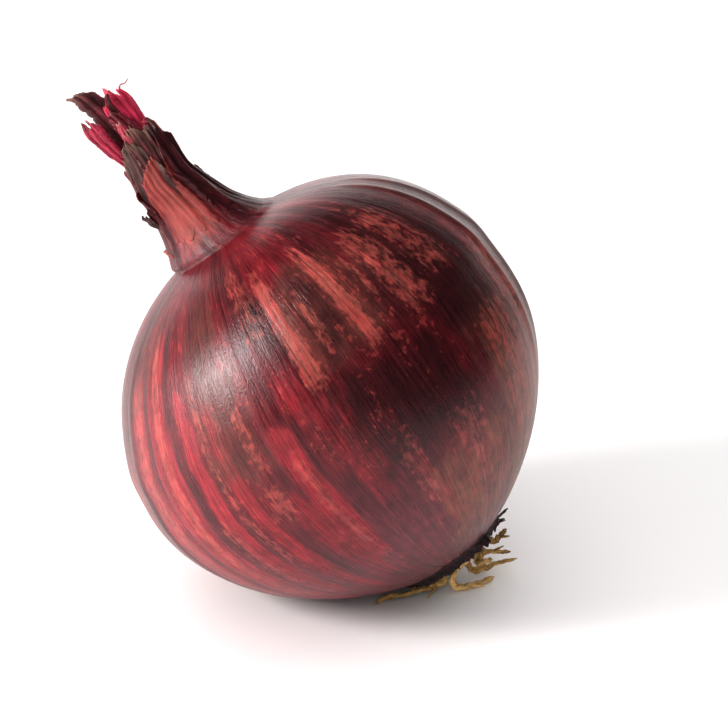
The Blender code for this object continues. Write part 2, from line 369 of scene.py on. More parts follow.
def stretched_noise(group, given, detail, roughness):
    """Noise on the growth place, counted separately across and along the growth."""
    size = put(group, "ShaderNodeCombineXYZ", {0: given["Across"], 1: given["Across"], 2: given["Along"]})
    spread = put(group, "ShaderNodeVectorMath", {0: given["Place"], 1: size.outputs[0]}, operation="MULTIPLY")
    values = {"Vector": spread.outputs[0], "Scale": 1.0, "Detail": detail, "Roughness": roughness}
    return put(group, "ShaderNodeTexNoise", values).outputs["Fac"]


def grown_lines_group():
    """Lines that run with the growth: noise on the growth place, stretched along it."""
    group, given, out = new_group(
        "Grown lines",
        [("Place", "NodeSocketVector", None), ("Across", "NodeSocketFloat", 40.0),
         ("Along", "NodeSocketFloat", 1.0), ("From", "NodeSocketFloat", 0.35),
         ("To", "NodeSocketFloat", 0.65)],
        [("Mask", "NodeSocketFloat"), ("Height", "NodeSocketFloat")],
    )
    height = stretched_noise(group, given, 3.0, 0.55)
    group.links.new(between(group, height, given["From"], given["To"]), out["Mask"])
    group.links.new(height, out["Height"])
    return group


def flaked_edge_group():
    """A soft amount broken into flakes: the amount plus noise, cut with a narrow soft edge."""
    group, given, out = new_group(
        "Flaked edge",
        [("Amount", "NodeSocketFloat", 0.5), ("Place", "NodeSocketVector", None),
         ("Across", "NodeSocketFloat", 30.0), ("Along", "NodeSocketFloat", 6.0),
         ("Ragged", "NodeSocketFloat", 1.6), ("Soft", "NodeSocketFloat", 0.12)],
        [("Mask", "NodeSocketFloat")],
    )
    noise = stretched_noise(group, given, 5.0, 0.62)
    swing = times(group, maths(group, "SUBTRACT", noise, 0.5), given["Ragged"])
    total = maths(group, "ADD", given["Amount"], swing)
    low = maths(group, "SUBTRACT", 0.5, given["Soft"])
    high = maths(group, "ADD", 0.5, given["Soft"])
    there = between(group, given["Amount"], 0.02, 0.15)
    group.links.new(times(group, between(group, total, low, high), there), out["Mask"])
    return group


def papery_grain_group():
    """The fine tooth of dry skin: two sizes of noise on the object's own coordinates."""
    group, given, out = new_group(
        "Papery grain",
        [("Position", "NodeSocketVector", None), ("Size", "NodeSocketFloat", 0.0004)],
        [("Height", "NodeSocketFloat"), ("Mottle", "NodeSocketFloat")],
    )
    count = maths(group, "DIVIDE", 1.0, given["Size"])
    fine = put(group, "ShaderNodeTexNoise", {"Vector": given["Position"], "Scale": count, "Detail": 4.0})
    wide_count = times(group, count, 0.16)
    wide = put(group, "ShaderNodeTexNoise", {"Vector": given["Position"], "Scale": wide_count, "Detail": 5.0})
    group.links.new(fine.outputs["Fac"], out["Height"])
    group.links.new(wide.outputs["Fac"], out["Mottle"])
    return group


def shared(name, builder):
    """The node group of this name, built the first time that it is asked for."""
    return bpy.data.node_groups.get(name) or builder()


def placed_group(tree, name, builder, values):
    return put(tree, "ShaderNodeGroup", values, node_tree=shared(name, builder)).outputs


def lines(tree, place, across, along, low=0.35, high=0.65):
    values = {"Place": place, "Across": across, "Along": along, "From": low, "To": high}
    return placed_group(tree, "Grown lines", grown_lines_group, values)


def flaked(tree, amount, place, across=30.0, along=6.0, ragged=1.6, soft=0.12):
    values = {"Amount": amount, "Place": place, "Across": across, "Along": along}
    values.update({"Ragged": ragged, "Soft": soft})
    return placed_group(tree, "Flaked edge", flaked_edge_group, values)["Mask"]


def grain(tree, size):
    position = put(tree, "ShaderNodeTexCoord").outputs["Object"]
    return placed_group(tree, "Papery grain", papery_grain_group, {"Position": position, "Size": size})


def new_material(name):
    """A material with its Principled shader, and the shader's node."""
    look = bpy.data.materials.new(name)
    look.use_nodes = True
    return look, look.node_tree, look.node_tree.nodes["Principled BSDF"]


def finish_surface(tree, shader, colour, roughness, height, depth):
    """Feeds the shader its colour, roughness and a bump of the given depth in metres."""
    bump = put(tree, "ShaderNodeBump", {"Height": height, "Distance": depth, "Strength": 1.0})
    tree.links.new(colour, shader.inputs["Base Color"])
    tree.links.new(roughness, shader.inputs["Roughness"])
    tree.links.new(bump.outputs[0], shader.inputs["Normal"])


# ---- Skin ----------------------------------------------------------------------------------------

# Stripes of thin, pale skin: direction in degrees round from the front, height from and to, half width and
# strength.
PALE_STRIPES = [
    (-52.5, -24, 27, 2.2, 0.7), (-64, -22, 23, 3.0, 0.54), (-15.5, -19, 3, 1.5, 0.62), (-25, -6, 0, 2.4, 0.7),
    (-1.0, 9, 27, 2.6, 0.95), (6.5, 13, 22, 1.8, 0.66), (17.0, 9, 27, 2.4, 0.86), (33, 8, 24, 4.6, 0.62),
    (46, 11, 25, 6.0, 0.48), (-9, 20, 30, 4.0, 0.50), (25, 14, 22, 1.6, 0.50), (-44, -26, -2, 2.0, 0.55),
    (-36, -14, 22, 1.4, 0.45), (50, -22, 0, 8.0, 0.50), (66, -26, 10, 6.0, 0.52), (-77, -20, 12, 3.0, 0.52),
    (8, -20, -6, 3.0, 0.46), (26, -24, -8, 5.0, 0.48), (-24, 3, 14, 2.0, 0.46),
]
# Streaks of clear red where the film is thin.
RED_STREAKS = [
    (-53, -30, 28, 5.5, 1.0), (-41, -26, 20, 3.2, 0.9), (-32, -30, 16, 2.6, 0.8), (-16, -22, 8, 4.0, 0.9),
    (-2, -14, 8, 6.0, 0.45), (-64, -24, 24, 6.0, 0.8), (-22, -28, -2, 3.6, 0.6), (2, 24, 36, 26.0, 0.30),
    (12, -26, -8, 9.0, 0.5), (-8, 4, 14, 4.0, 0.6), (30, -30, -16, 9.0, 0.4),
]
# Where the outer film lies thick and dark.
DARK_FILMS = [
    (16, -12, 9, 20.0, 0.80), (46, 0, 30, 15.0, 0.85), (9, 8, 25, 5.4, 0.65), (27, 2, 20, 6.5, 0.65),
    (-10, 18, 30, 5.0, 0.55), (72, -10, 26, 7.0, 0.5), (24, 22, 32, 10.0, 0.6),
]
# Brown, dried outer film.
BROWN_FILMS = [
    (12, 9, 26, 16.0, 0.85), (-28, 2, 30, 11.0, 0.62), (58, -34, 8, 20.0, 0.95), (-60, 18, 32, 16.0, 0.55),
    (78, -30, 30, 14.0, 0.8), (-88, -30, 26, 10.0, 0.6), (32, 10, 26, 12.0, 0.5), (26, -34, -12, 22.0, 0.6),
]
# Sharp ridges with the growth: direction in degrees, half width and how far each stands up.
RIDGES = [(67.5, 1.6, 0.34), (77.5, 1.9, 0.42), (-71, 1.8, 0.22), (112, 2.0, 0.3), (214, 2.0, 0.3)]
SKIN_COLUMNS = 400
SKIN_ROWS = 238


def bands(around, height, rows, end=2.5):
    """The strongest of the bands at a place: a flat-topped bell across each, times an eased start and end."""
    total = np.zeros_like(around)
    for middle, low, high, half, strength in rows:
        apart = signed(around - middle)
        across = np.exp(-((apart / half) ** 4))
        length = within(height, low + end, high - end, 2 * end, 2 * end)
        total = np.maximum(total, strength * across * length)
    return total


def rear_rows(seed, count, widths, strengths):
    """Bands of the same kinds for the side that faces away, drawn once from a seed."""
    draw = np.random.default_rng(seed)
    middles = draw.uniform(88, 272, count)
    lows = draw.uniform(-32, 8, count)
    spans = draw.uniform(12, 44, count)
    halves = draw.uniform(*widths, count)
    powers = draw.uniform(*strengths, count)
    highs = np.minimum(lows + spans, 29)
    return list(zip(middles, lows, highs, halves, powers))


def skin_relief(around, height):
    """How far the skin stands off the plain bulb: swells, ribs with the growth, creases, ridges and
    neck folds."""
    degrees = signed(np.degrees(around))
    up_neck = ease(height, 31.5, 40)
    body = 1 - ease(height, 28, 34)
    swell = 0.16 * ripple(around, height, 11, [3, 4, 5, 7, 9], 0.03)
    ribs = 0.055 * ripple(around, height, 12, [31, 38, 47, 58, 71], 0.01)
    crease = 0.15 * np.exp(-(((degrees + 18.6) / 0.65) ** 2)) * within(height, 5, 25, 13, 3)
    torn_edge = 0.10 * within(degrees, -18.2, -18, 0.8, 12) * within(height, 8, 24, 6, 3)
    ridges = np.zeros_like(around)
    for middle, half, tall in RIDGES:
        ridges += tall * np.exp(-((signed(degrees - middle) / half) ** 2))
    ridges = ridges * within(height, -4, 25, 18, 6)
    folds = np.abs(ripple(around, height, 21, [5, 7, 8, 11], 0.05)) * 2.2 - 0.9
    small_folds = ripple(around, height, 22, [17, 23, 29], 0.03)
    shoulder = ripple(around, height, 24, [13, 19, 27, 34], 0.06) * within(height, 31, 34, 5, 4)
    root_pull = ease(-height, 28, 36)
    pleats = ripple(around, height, 23, [19, 27, 36, 44], 0.04)
    return (
        (swell + ribs) * body + crease + torn_edge + ridges + 0.11 * shoulder
        + up_neck * (0.34 * folds + 0.16 * small_folds) + root_pull * 0.20 * pleats
    )


def skin_marks(around, height):
    """Pale, dark and red amounts, and the painted floor reflection's, brown and neck amounts, at each place
    of the skin.
    """
    degrees = signed(np.degrees(around))
    pale = bands(degrees, height, PALE_STRIPES + rear_rows(41, 30, (1.2, 3.6), (0.4, 0.72)))
    red = bands(degrees, height, RED_STREAKS + rear_rows(42, 16, (3.0, 8.0), (0.5, 1.0)))
    dark = bands(degrees, height, DARK_FILMS + rear_rows(43, 8, (8.0, 20.0), (0.5, 0.95)), 5)
    brown = bands(degrees, height, BROWN_FILMS + rear_rows(44, 10, (8.0, 20.0), (0.5, 0.9)), 5)
    # Painted reflection of the pale floor: a purple veil over the film, full at the root end and gone just
    # above the girth.
    floor_reflection_veil = 1 - ease(height, -24, 2)
    neck = ease(height, 29, 36)
    front_neck = np.exp(-(((degrees + 14) / 32) ** 4)) * ease(height, 33, 39)
    pale = np.maximum(pale, 1.15 * front_neck)
    dark_neck = within(degrees, 34, 150, 26, 50) * ease(height, 30, 36)
    dark = np.maximum(dark, 0.8 * dark_neck)
    return (pale, dark, red), (floor_reflection_veil, brown, neck)


def skin_mesh():
    """The whole skin: height by the profile's line and angle round, each ring at its radius plus the
    relief."""
    around, height = np.meshgrid(
        full_turn(SKIN_COLUMNS, -math.pi), even_heights(SKIN_ROWS)
    )
    radius = profile_radius(height) + skin_relief(around, height)
    points = lay(round_place(around, height, radius))
    points[..., 2] = np.maximum(points[..., 2], 0.0)
    mesh = sheet_mesh("onion_skin", points, wrap=True, caps=True)
    write_skin_marks(mesh, around, height)
    return mesh


def write_skin_marks(mesh, around, height):
    """Keeps the skin's amounts and its growth place: sine and cosine round it, and height in centimetres."""
    marks, zones = skin_marks(around, height)
    write_marks(mesh, "skin_marks", *marks)
    write_marks(mesh, "skin_zones", *zones)
    write_marks(mesh, "skin_place", np.sin(around), -np.cos(around), height / 10)


def skin_material(sizes):
    """Onion skin: crimson film over maroon, with pale stripes, dark films, veins, striations, grain and a
    painted floor reflection towards the root end.
    """
    look, tree, shader = new_material("Onion skin")
    place = put(tree, "ShaderNodeAttribute", attribute_name="skin_place").outputs["Vector"]
    pale, dark, red = parts_of(tree, "skin_marks")
    floor_reflection_veil, brown, neck = parts_of(tree, "skin_zones")
    wide = lines(tree, place, 6.0, 0.55, 0.36, 0.62)
    streak = lines(tree, place, 26.0, 0.8, 0.38, 0.62)
    narrow = lines(tree, place, 62.0, 1.2, 0.40, 0.62)
    fine = lines(tree, place, 140.0, 1.6, 0.30, 0.70)
    finest = lines(tree, place, 330.0, 4.0, 0.30, 0.70)
    tooth = grain(tree, 0.00042)

    colour = blend_colour(tree, wide["Mask"], sizes.maroon, sizes.crimson)
    colour = layer(tree, colour, streak["Mask"], 0.45, sizes.maroon)
    # Painted reflection of the pale floor: the lower bulb veiled purple, in streaks.
    floor_reflection_share = times(tree, floor_reflection_veil, between(tree, streak["Height"], 0.3, 0.65, 0.45, 0.95))
    colour = blend_colour(tree, floor_reflection_share, colour, sizes.floor_reflection_veil)
    red_share = flaked(tree, times(tree, red, 0.95), place, 20.0, 0.9, 1.5, 0.28)
    colour = layer(tree, colour, red_share, 0.85, sizes.clear_red)
    brown_share = flaked(tree, brown, place, 16.0, 2.2, 1.5, 0.30)
    # Towards the root end the brown film turns lighter, by the painted floor reflection's mask.
    brown_colour = blend_colour(tree, floor_reflection_veil, sizes.brown, sizes.brown_low)
    colour = layer(tree, colour, brown_share, 0.72, brown_colour)
    dark_share = flaked(tree, dark, place, 14.0, 2.4, 1.3, 0.36)
    colour = layer(tree, colour, dark_share, 0.8, sizes.darkest)
    pale_share = flaked(tree, pale, place, 40.0, 7.0, 2.6, 0.38)
    pale_share = times(tree, pale_share, between(tree, narrow["Height"], 0.30, 0.62, 0.30, 1.0))
    pale_colour = blend_colour(tree, narrow["Mask"], sizes.salmon, sizes.salmon_red)
    # Towards the root end the pale stripes turn pink, by the painted floor reflection's mask.
    pale_colour = blend_colour(tree, times(tree, floor_reflection_veil, 0.75), pale_colour, sizes.pale_pink)
    colour = layer(tree, colour, pale_share, 0.74, pale_colour)
    spots = flaked(tree, times(tree, wide["Mask"], 0.34), place, 34.0, 7.0, 2.0, 0.08)
    colour = layer(tree, colour, spots, 0.40, sizes.salmon_red)
    vein = lines(tree, place, 44.0, 3.0, 0.60, 0.68)
    vein_share = times(tree, vein["Mask"], between(tree, neck, 0.0, 0.4, 0.10, 0.75))
    colour = blend_colour(tree, vein_share, colour, sizes.clear_red)

    colour = shaded(
        tree, colour,
        between(tree, fine["Height"], 0.25, 0.75, 0.68, 1.28),
        between(tree, tooth["Mottle"], 0.3, 0.7, 0.82, 1.16),
        between(tree, narrow["Height"], 0.3, 0.7, 0.84, 1.16),
    )

    rough = between(tree, fine["Height"], 0.25, 0.75, sizes.gloss_low, sizes.gloss_high)
    rough = maths(tree, "ADD", rough, times(tree, pale_share, 0.05))
    rough = maths(tree, "ADD", rough, times(tree, neck, 0.03))
    height = summed(
        tree, (fine["Height"], 0.55), (finest["Height"], 0.35), (tooth["Height"], 0.45),
        (narrow["Height"], 0.5), (pale_share, 0.12),
    )
    finish_surface(tree, shader, colour, rough, height, 0.00011)
    shader.inputs["Specular IOR Level"].default_value = 0.42
    shader.inputs["Coat Weight"].default_value = 0.06
    shader.inputs["Coat Roughness"].default_value = 0.22
    return look


# ---- Neck sheaths and leaf ends ------------------------------------------------------------------

# Torn sheaths round the neck: the height of the foot, how far it stands off at foot and top, how ragged it
# is, the torn top as directions and heights, and its pink, brown and tan amounts. A sheath with no amounts of
# its own carries the skin's pattern on.
SHEATHS = named(
    ("foot", "off", "rag", "top", "tone"),
    ("neck_sheath_front", 37.0, (0.05, 0.62), 0.5, [(-66, 43.5), (-52, 46.2), (-40, 48.9), (-24, 50.3),
     (-8, 51.3), (2, 51.6), (10, 50.0), (20, 48.2), (30, 45.6)], None),
    ("neck_sheath_grey", 42.0, (0.02, 0.42), 0.45, [(-74, 51.6), (-62, 54.2), (-46, 55.6), (-30, 55.8),
     (-14, 55.4), (-6, 54.2), (4, 51.8), (12, 49.0)], (0.12, 0.8, 0.1)),
    ("neck_sheath_tan", 44.0, (0.0, 0.16), 0.6, [(-30, 55.6), (-14, 57.4), (2, 57.8), (14, 56.9),
     (22, 55.6), (34, 56.4), (46, 54.6), (58, 52.0)], (0.25, 0.65, 0.22)),
    ("neck_sheath_right", 37.5, (0.04, 0.75), 0.6, [(16, 47.0), (26, 52.2), (38, 56.4), (48, 57.2),
     (60, 54.6), (74, 53.2), (88, 50.6), (104, 47.6), (118, 44.2)], None),
    ("neck_sheath_left", 38.5, (0.04, 0.7), 0.7, [(-128, 44.6), (-112, 49.0), (-98, 51.6), (-86, 52.4),
     (-74, 50.4), (-62, 48.4), (-52, 44.8)], None),
    ("neck_sheath_back", 38.0, (0.04, 0.66), 0.8, [(104, 45.0), (122, 50.8), (140, 54.4), (158, 51.6),
     (178, 55.2), (196, 52.0), (214, 53.6), (236, 48.0), (246, 44.0)], None),
    ("neck_sheath_back_inner", 43.0, (0.0, 0.2), 0.7, [(84, 50.0), (104, 55.2), (128, 57.6),
     (152, 55.4), (176, 58.2), (206, 56.4), (232, 57.2), (262, 54.4), (284, 51.0)], (0.45, 0.45, 0.3)),
)
LEAST_NECK = 3.9
SHEATH_ROWS = 44
SHEATH_COLUMNS = 72


def sheath_mesh(name, sheath, seed):
    """A torn sheath: from its foot to its ragged top, at the neck's radius plus a stand-off, folds and
    curl."""
    given = np.array(sheath["top"], float)
    across = np.linspace(0, 1, SHEATH_COLUMNS)
    angle = np.linspace(given[0, 0], given[-1, 0], SHEATH_COLUMNS)
    tops = np.interp(angle, given[:, 0], given[:, 1]) + sheath["rag"] * waver(across, seed, 6, 60, 0.75)
    tops = np.maximum(tops, sheath["foot"] + 0.6)
    share = shares(SHEATH_ROWS)
    foot = sheath["foot"] + 1.6 * waver(across, seed + 6, 2, 9, 0.5)
    height = foot[None, :] + (tops - foot)[None, :] * share
    edge = ease(np.abs(across * 2 - 1), 0.80, 1.0)[None, :]
    jag = 3.0 * waver(share[:, 0], seed + 1, 3, 40, 0.8)[:, None] * edge * np.sign(across - 0.5)[None, :]
    around = np.radians(angle[None, :] + jag)
    stand = sheath["off"][0] + (sheath["off"][1] - sheath["off"][0]) * share**1.3
    own_folds = 0.22 * ripple(around, height, seed + 2, [9, 14, 21, 33], 0.06) * ease(share, 0.05, 0.4)
    curl = 0.5 * waver(across, seed + 3, 2, 12, 0.8)[None, :] * ease(share, 0.82, 1.0)
    lifted = 0.30 * edge * ease(share, 0.15, 0.7)
    foot_dip = -0.16 * (1 - ease(share, 0.0, 0.30))
    relief = skin_relief(around, np.minimum(height, NECK_TOP)) * (1 - ease(height, 50, 54))
    base = profile_radius(height) + relief
    radius = np.maximum(base, LEAST_NECK) + stand + own_folds + curl + lifted + foot_dip
    mesh = sheet_mesh(name, lay(round_place(around, height, radius)))
    if sheath["tone"] is None:
        write_skin_marks(mesh, around, height)
    else:
        write_leaf_marks(mesh, np.radians(angle)[None, :] * 5, height, share, across, sheath["tone"], seed)
    return mesh


def write_leaf_marks(mesh, sideways, height, share, across, tone, seed):
    """Keeps the leaf's growth place, its pink, brown and tan amounts, and how near each point is to a
    torn edge."""
    near_top = ease(share, 0.80, 1.0)
    near_side = ease(np.abs(across * 2 - 1), 0.78, 1.0)[None, :]
    write_marks(mesh, "leaf_place", sideways, seed, height / 10)
    write_marks(mesh, "leaf_tone", *tone)
    write_marks(mesh, "leaf_torn", np.maximum(near_top, near_side * 0.7), near_top, near_side)


# Leaf ends: the route of the middle of each, its half widths, the direction it faces in plan, how far it is
# rolled, the depth of its ridges, how ragged its tip is, and its pink, brown and tan amounts.
LEAF_ENDS = named(
    ("route", "half_widths", "faces", "roll", "ridge", "rag", "tone", "tip"),
    ("leaf_end_centre", [(-0.5, 0.2, 50.0), (-0.6, 0.2, 53.2), (-0.8, 0.2, 58.0), (-1.2, 0.0, 62.5),
     (-2.3, -0.3, 66.4), (-3.9, -0.4, 68.2)], [1.8, 1.9, 2.1, 2.1, 1.9, 1.2], -78, 95, 0.16, 0.07,
     (0.1, 0.5, 0.22), (0.0, 0.03, 0.02, 0.07, 0.12)),
    ("leaf_end_left", [(-2.6, -0.8, 50.6), (-3.5, -0.9, 53.2), (-4.4, -1.0, 56.5), (-4.9, -0.9, 60.0),
     (-4.9, -0.8, 63.6)], [0.9, 1.1, 1.6, 1.7, 1.2], -128, 80, 0.26, 0.1, (0.45, 0.05, 0.16),
     (0.1, 0.0, 0.14, 0.02, 0.12)),
    ("leaf_end_right", [(1.8, 0.0, 50.6), (2.4, 0.2, 53.2), (2.8, 0.2, 58.0), (2.7, 0.1, 62.0),
     (2.1, 0.0, 66.0)], [1.0, 1.2, 1.6, 1.9, 1.2], -66, 85, 0.24, 0.12, (1.0, 0.0, 0.06),
     (0.02, 0.0, 0.16, 0.05, 0.22)),
    ("leaf_end_inner", [(0.7, -1.6, 50.6), (0.7, -1.9, 53.2), (0.7, -2.1, 56.5), (0.2, -2.2, 59.5),
     (-0.4, -2.2, 62.6)], [1.2, 1.4, 1.6, 1.4, 0.9], -84, 75, 0.2, 0.14, (0.32, 0.45, 0.12),
     (0.12, 0.06, 0.0, 0.1, 0.2)),
    ("leaf_end_back", [(0.5, 2.2, 50.6), (0.6, 2.6, 53.2), (0.8, 2.9, 56.5), (1.0, 3.1, 60.0),
     (1.1, 3.5, 63.4)], [1.7, 1.9, 2.2, 2.0, 1.1], 85, 80, 0.22, 0.12, (0.72, 0.12, 0.2),
     (0.15, 0.0, 0.08, 0.02, 0.14)),
    ("leaf_end_back_left", [(-2.2, 1.8, 50.6), (-2.6, 2.2, 53.2), (-3.2, 2.7, 56.0), (-3.6, 3.1, 58.8)],
     [1.0, 1.2, 1.4, 0.8], 140, 60, 0.18, 0.14, (0.3, 0.4, 0.35), (0.1, 0.0, 0.12, 0.04, 0.2)),
    ("husk_scrap_neck", [(-5.6, -2.7, 41.0), (-6.3, -3.0, 42.2), (-6.5, -3.0, 43.4),
     (-7.0, -3.1, 44.8)], [0.7, 0.9, 0.9, 0.5], -150, 40, 0.08, 0.2, (0.1, 0.85, 0.35),
     (0.2, 0.0, 0.2, 0.1, 0.3)),
)
# Small torn strips that stand among the leaf ends and on the neck, with no solid of their own.
LEAF_STRIPS = named(
    ("route", "half_widths", "faces", "roll", "ridge", "rag", "tone", "tip"),
    ("leaf_strip_curled", [(-0.5, -3.9, 54.6), (-0.6, -4.1, 56.6), (-0.5, -3.9, 58.4),
     (-0.3, -3.3, 59.9)], [0.5, 0.7, 0.6, 0.25], -95, 130, 0.05, 0.1, (0.55, 0.0, 0.75),
     (0.1, 0.0, 0.1, 0.0, 0.1)),
    ("leaf_strip_sliver", [(4.0, -1.9, 54.6), (3.8, -2.0, 55.8), (3.3, -2.0, 57.4)], [0.35, 0.5, 0.2],
     -60, 60, 0.03, 0.1, (0.7, 0.0, 0.6), (0.1, 0.0, 0.1, 0.0, 0.1)),
    ("leaf_strip_hook", [(0.2, -1.0, 60.0), (0.3, -1.1, 62.6), (0.9, -1.1, 64.2), (1.5, -1.1, 64.6)],
     [0.8, 0.8, 0.5, 0.25], -90, 60, 0.08, 0.1, (0.25, 0.5, 0.1), (0.1, 0.0, 0.1, 0.0, 0.1)),
    ("leaf_strip_pink", [(-0.7, -1.4, 57.0), (-0.6, -1.6, 60.0), (-0.5, -1.6, 63.4)], [0.5, 0.6, 0.25],
     -90, 70, 0.06, 0.1, (1.0, 0.0, 0.1), (0.1, 0.0, 0.1, 0.0, 0.1)),
    ("husk_scrap_low", [(-7.0, -3.3, 35.4), (-7.3, -3.5, 36.6), (-7.5, -3.6, 37.7)], [0.3, 0.5, 0.25],
     -150, 40, 0.02, 0.2, (0.5, 0.0, 0.85), (0.1, 0.0, 0.1, 0.0, 0.1)),
)
# Papery flakes that hang from the plate's edge, at places over the table from the point under the bulb.
PLATE_FLAKES = named(
    ("over_table", "half_widths", "faces", "roll", "ridge", "rag", "tone", "tip"),
    ("plate_flake_long", [(27.4, 2.8, 4.6), (28.3, 2.8, 6.4), (29.2, 2.4, 8.2), (29.7, 2.2, 9.8)], [0.5,
     0.85, 0.8, 0.3], -60, 60, 0.07, 0.2, (0.35, 0.35, 0.3), (0.2, 0.0, 0.1, 0.0, 0.3)),
    ("plate_flake_upper", [(29.6, 3.6, 9.6), (31.2, 3.6, 10.8), (32.3, 3.4, 11.2)], [0.8, 0.9, 0.3],
     -50, 50, 0.07, 0.25, (0.05, 0.6, 0.0), (0.2, 0.0, 0.2, 0.0, 0.3)),
    ("plate_flake_top", [(30.6, 3.4, 11.4), (32.0, 3.2, 12.9), (32.7, 2.9, 13.8)], [0.8, 0.8, 0.3], -50,
     50, 0.07, 0.25, (0.05, 0.5, 0.05), (0.1, 0.1, 0.2, 0.0, 0.3)),
)
# One loose fibre at the tip of the right leaf end.
FIBRE_ROUTE = [(3.2, -0.6, 63.6), (3.9, -0.7, 64.3), (4.8, -0.6, 64.1), (5.7, -0.4, 64.4)]
FIBRE_THICK = (0.32, 0.12)
FIBRE_ROWS = 40
THIN_SIDES = 8
BLADE_ROWS = 56
BLADE_COLUMNS = 25


def blade_mesh(name, leaf, seed):
    """A leaf end: an arc across its length, with ridges along it, ragged sides and a torn tip."""
    middle = along_route(leaf["route"], BLADE_ROWS)
    given = leaf["half_widths"]
    half = np.interp(np.linspace(0, 1, BLADE_ROWS), np.linspace(0, 1, len(given)), given)
    across = np.linspace(-1, 1, BLADE_COLUMNS)
    tip = 1 - np.interp(across, np.linspace(-1, 1, 5), leaf["tip"]) - leaf["rag"] * (0.5 + 0.5 * waver(
        across / 2, seed, 3, 22, 0.4))
    share = shares(BLADE_ROWS) * np.clip(tip, 0.4, 1)[None, :]
    spot = share * (BLADE_ROWS - 1)
    steps = np.arange(BLADE_ROWS)
    centre = np.stack([np.interp(spot, steps, middle[:, k]) for k in range(3)], axis=-1)
    width = np.interp(spot, steps, half) * (1 + 0.13 * waver(share[:, 0], seed + 1, 4, 30, 0.7)[:, None])
    faces = math.radians(leaf["faces"])
    out = np.array([math.cos(faces), math.sin(faces), 0])
    side = np.array([-math.sin(faces), math.cos(faces), 0])
    angle = across[None, :] * math.radians(leaf["roll"]) / 2
    radius = width / math.sin(math.radians(leaf["roll"]) / 2)
    ridges = leaf["ridge"] * np.cos(across[None, :] * 3.0 * math.pi + 0.8 * np.sin(share * 5 + seed))
    ridges = ridges + 0.35 * leaf["ridge"] * np.cos(across[None, :] * 8.3 * math.pi + share * 4)
    buckle = 0.16 * np.sin(share * 17 + seed + across[None, :] * 2) * ease(share, 0.3, 0.8)
    lift = ridges + buckle - radius * (1 - np.cos(angle))
    points = centre + (radius * np.sin(angle))[..., None] * side + lift[..., None] * out
    mesh = sheet_mesh(name, lay(points))
    sideways = across[None, :] * width
    write_leaf_marks(mesh, sideways, centre[..., 2], share, (across + 1) / 2, leaf["tone"], seed)
    return mesh


def leaf_material(sizes):
    """Dried leaf: maroon to pink film with growth lines, brown films, and pale tan torn edges."""
    look, tree, shader = new_material("Dried leaf")
    place = put(tree, "ShaderNodeAttribute", attribute_name="leaf_place").outputs["Vector"]
    pink, brown, tan = parts_of(tree, "leaf_tone")
    torn, near_top, _ = parts_of(tree, "leaf_torn")
    streak = lines(tree, place, 2.4, 1.2, 0.36, 0.62)
    fine = lines(tree, place, 9.0, 2.0, 0.3, 0.7)
    tooth = grain(tree, 0.00030)
    colour = blend_colour(tree, streak["Mask"], sizes.leaf_maroon, sizes.leaf_crimson)
    pink_share = times(tree, pink, between(tree, streak["Height"], 0.25, 0.6, 0.55, 1.0))
    pink_colour = blend_colour(tree, fine["Mask"], sizes.leaf_pink, sizes.leaf_rose)
    colour = blend_colour(tree, pink_share, colour, pink_colour)
    brown_share = flaked(tree, brown, place, 1.6, 3.0, 1.4, 0.25)
    colour = layer(tree, colour, brown_share, 0.85, sizes.leaf_brown)
    tan_amount = maths(tree, "ADD", times(tree, tan, 0.55), times(tree, torn, 0.25))
    tan_share = flaked(tree, tan_amount, place, 3.0, 3.4, 1.7, 0.14)
    tan_colour = blend_colour(tree, pink, sizes.leaf_tan, sizes.leaf_salmon)
    colour = layer(tree, colour, tan_share, 0.85, tan_colour)
    edge_amount = times(tree, near_top, maths(tree, "ADD", times(tree, tan, 0.8), 0.12))
    colour = blend_colour(tree, edge_amount, colour, sizes.leaf_tan)
    colour = shaded(
        tree, colour,
        between(tree, fine["Height"], 0.25, 0.75, 0.62, 1.3),
        between(tree, tooth["Mottle"], 0.3, 0.7, 0.75, 1.2),
    )
    rough = between(tree, fine["Height"], 0.25, 0.75, 0.42, 0.62)
    height = summed(tree, (fine["Height"], 0.8), (tooth["Height"], 0.5), (streak["Height"], 0.8))
    finish_surface(tree, shader, colour, rough, height, 0.00022)
    return look


# ---- Basal plate and roots -----------------------------------------------------------------------

PLATE_ROWS = 64
PLATE_COLUMNS = 220


def plate_mesh():
    """The basal plate: a rim and a dome of cosine and sine, with pits, old root scars and a ragged
    outline."""
    quarter = np.linspace(0, math.pi / 2 * 0.985, PLATE_ROWS - 6)
    rim_heights = np.linspace(PLATE_TOP, PLATE_TOP - PLATE_RIM, 6, endpoint=False)
    height = np.concatenate([rim_heights, PLATE_TOP - PLATE_RIM - PLATE_DOME * np.sin(quarter)])[::-1]
    radius = np.concatenate([np.full(6, PLATE_RADIUS), PLATE_RADIUS * np.cos(quarter)])[::-1]
    around = full_turn(PLATE_COLUMNS, -math.pi)
    ray, down = np.meshgrid(around, height)
    reach = radius[:, None] + 0 * ray
    outer = ease(reach, 6.5, 10.0)
    ragged = 0.32 * ripple(ray, down, 61, [9, 14, 22, 31, 43], 0.4) * outer
    bumps = 0.30 * np.sin(reach * 3.1 + 1.2 * np.sin(ray * 5)) * np.sin(ray * 17 + reach * 1.4)
    bumps = bumps + 0.16 * np.sin(ray * 29 - reach * 2.2) * np.sin(reach * 6.3)
    scars = 0.25 * ripple(ray, reach * 9, 62, [13, 21, 34], 0.5)
    points = round_place(ray, down - (bumps + scars) * ease(reach, 0.2, 2.5), reach + ragged)
    mesh = sheet_mesh("basal_plate", lay(points), wrap=True, caps=True)
    write_marks(mesh, "root_tone", 0.05, 0.9, reach / 10)
    write_marks(mesh, "root_place", ray * 3, reach / 3, down / 3)
    return mesh


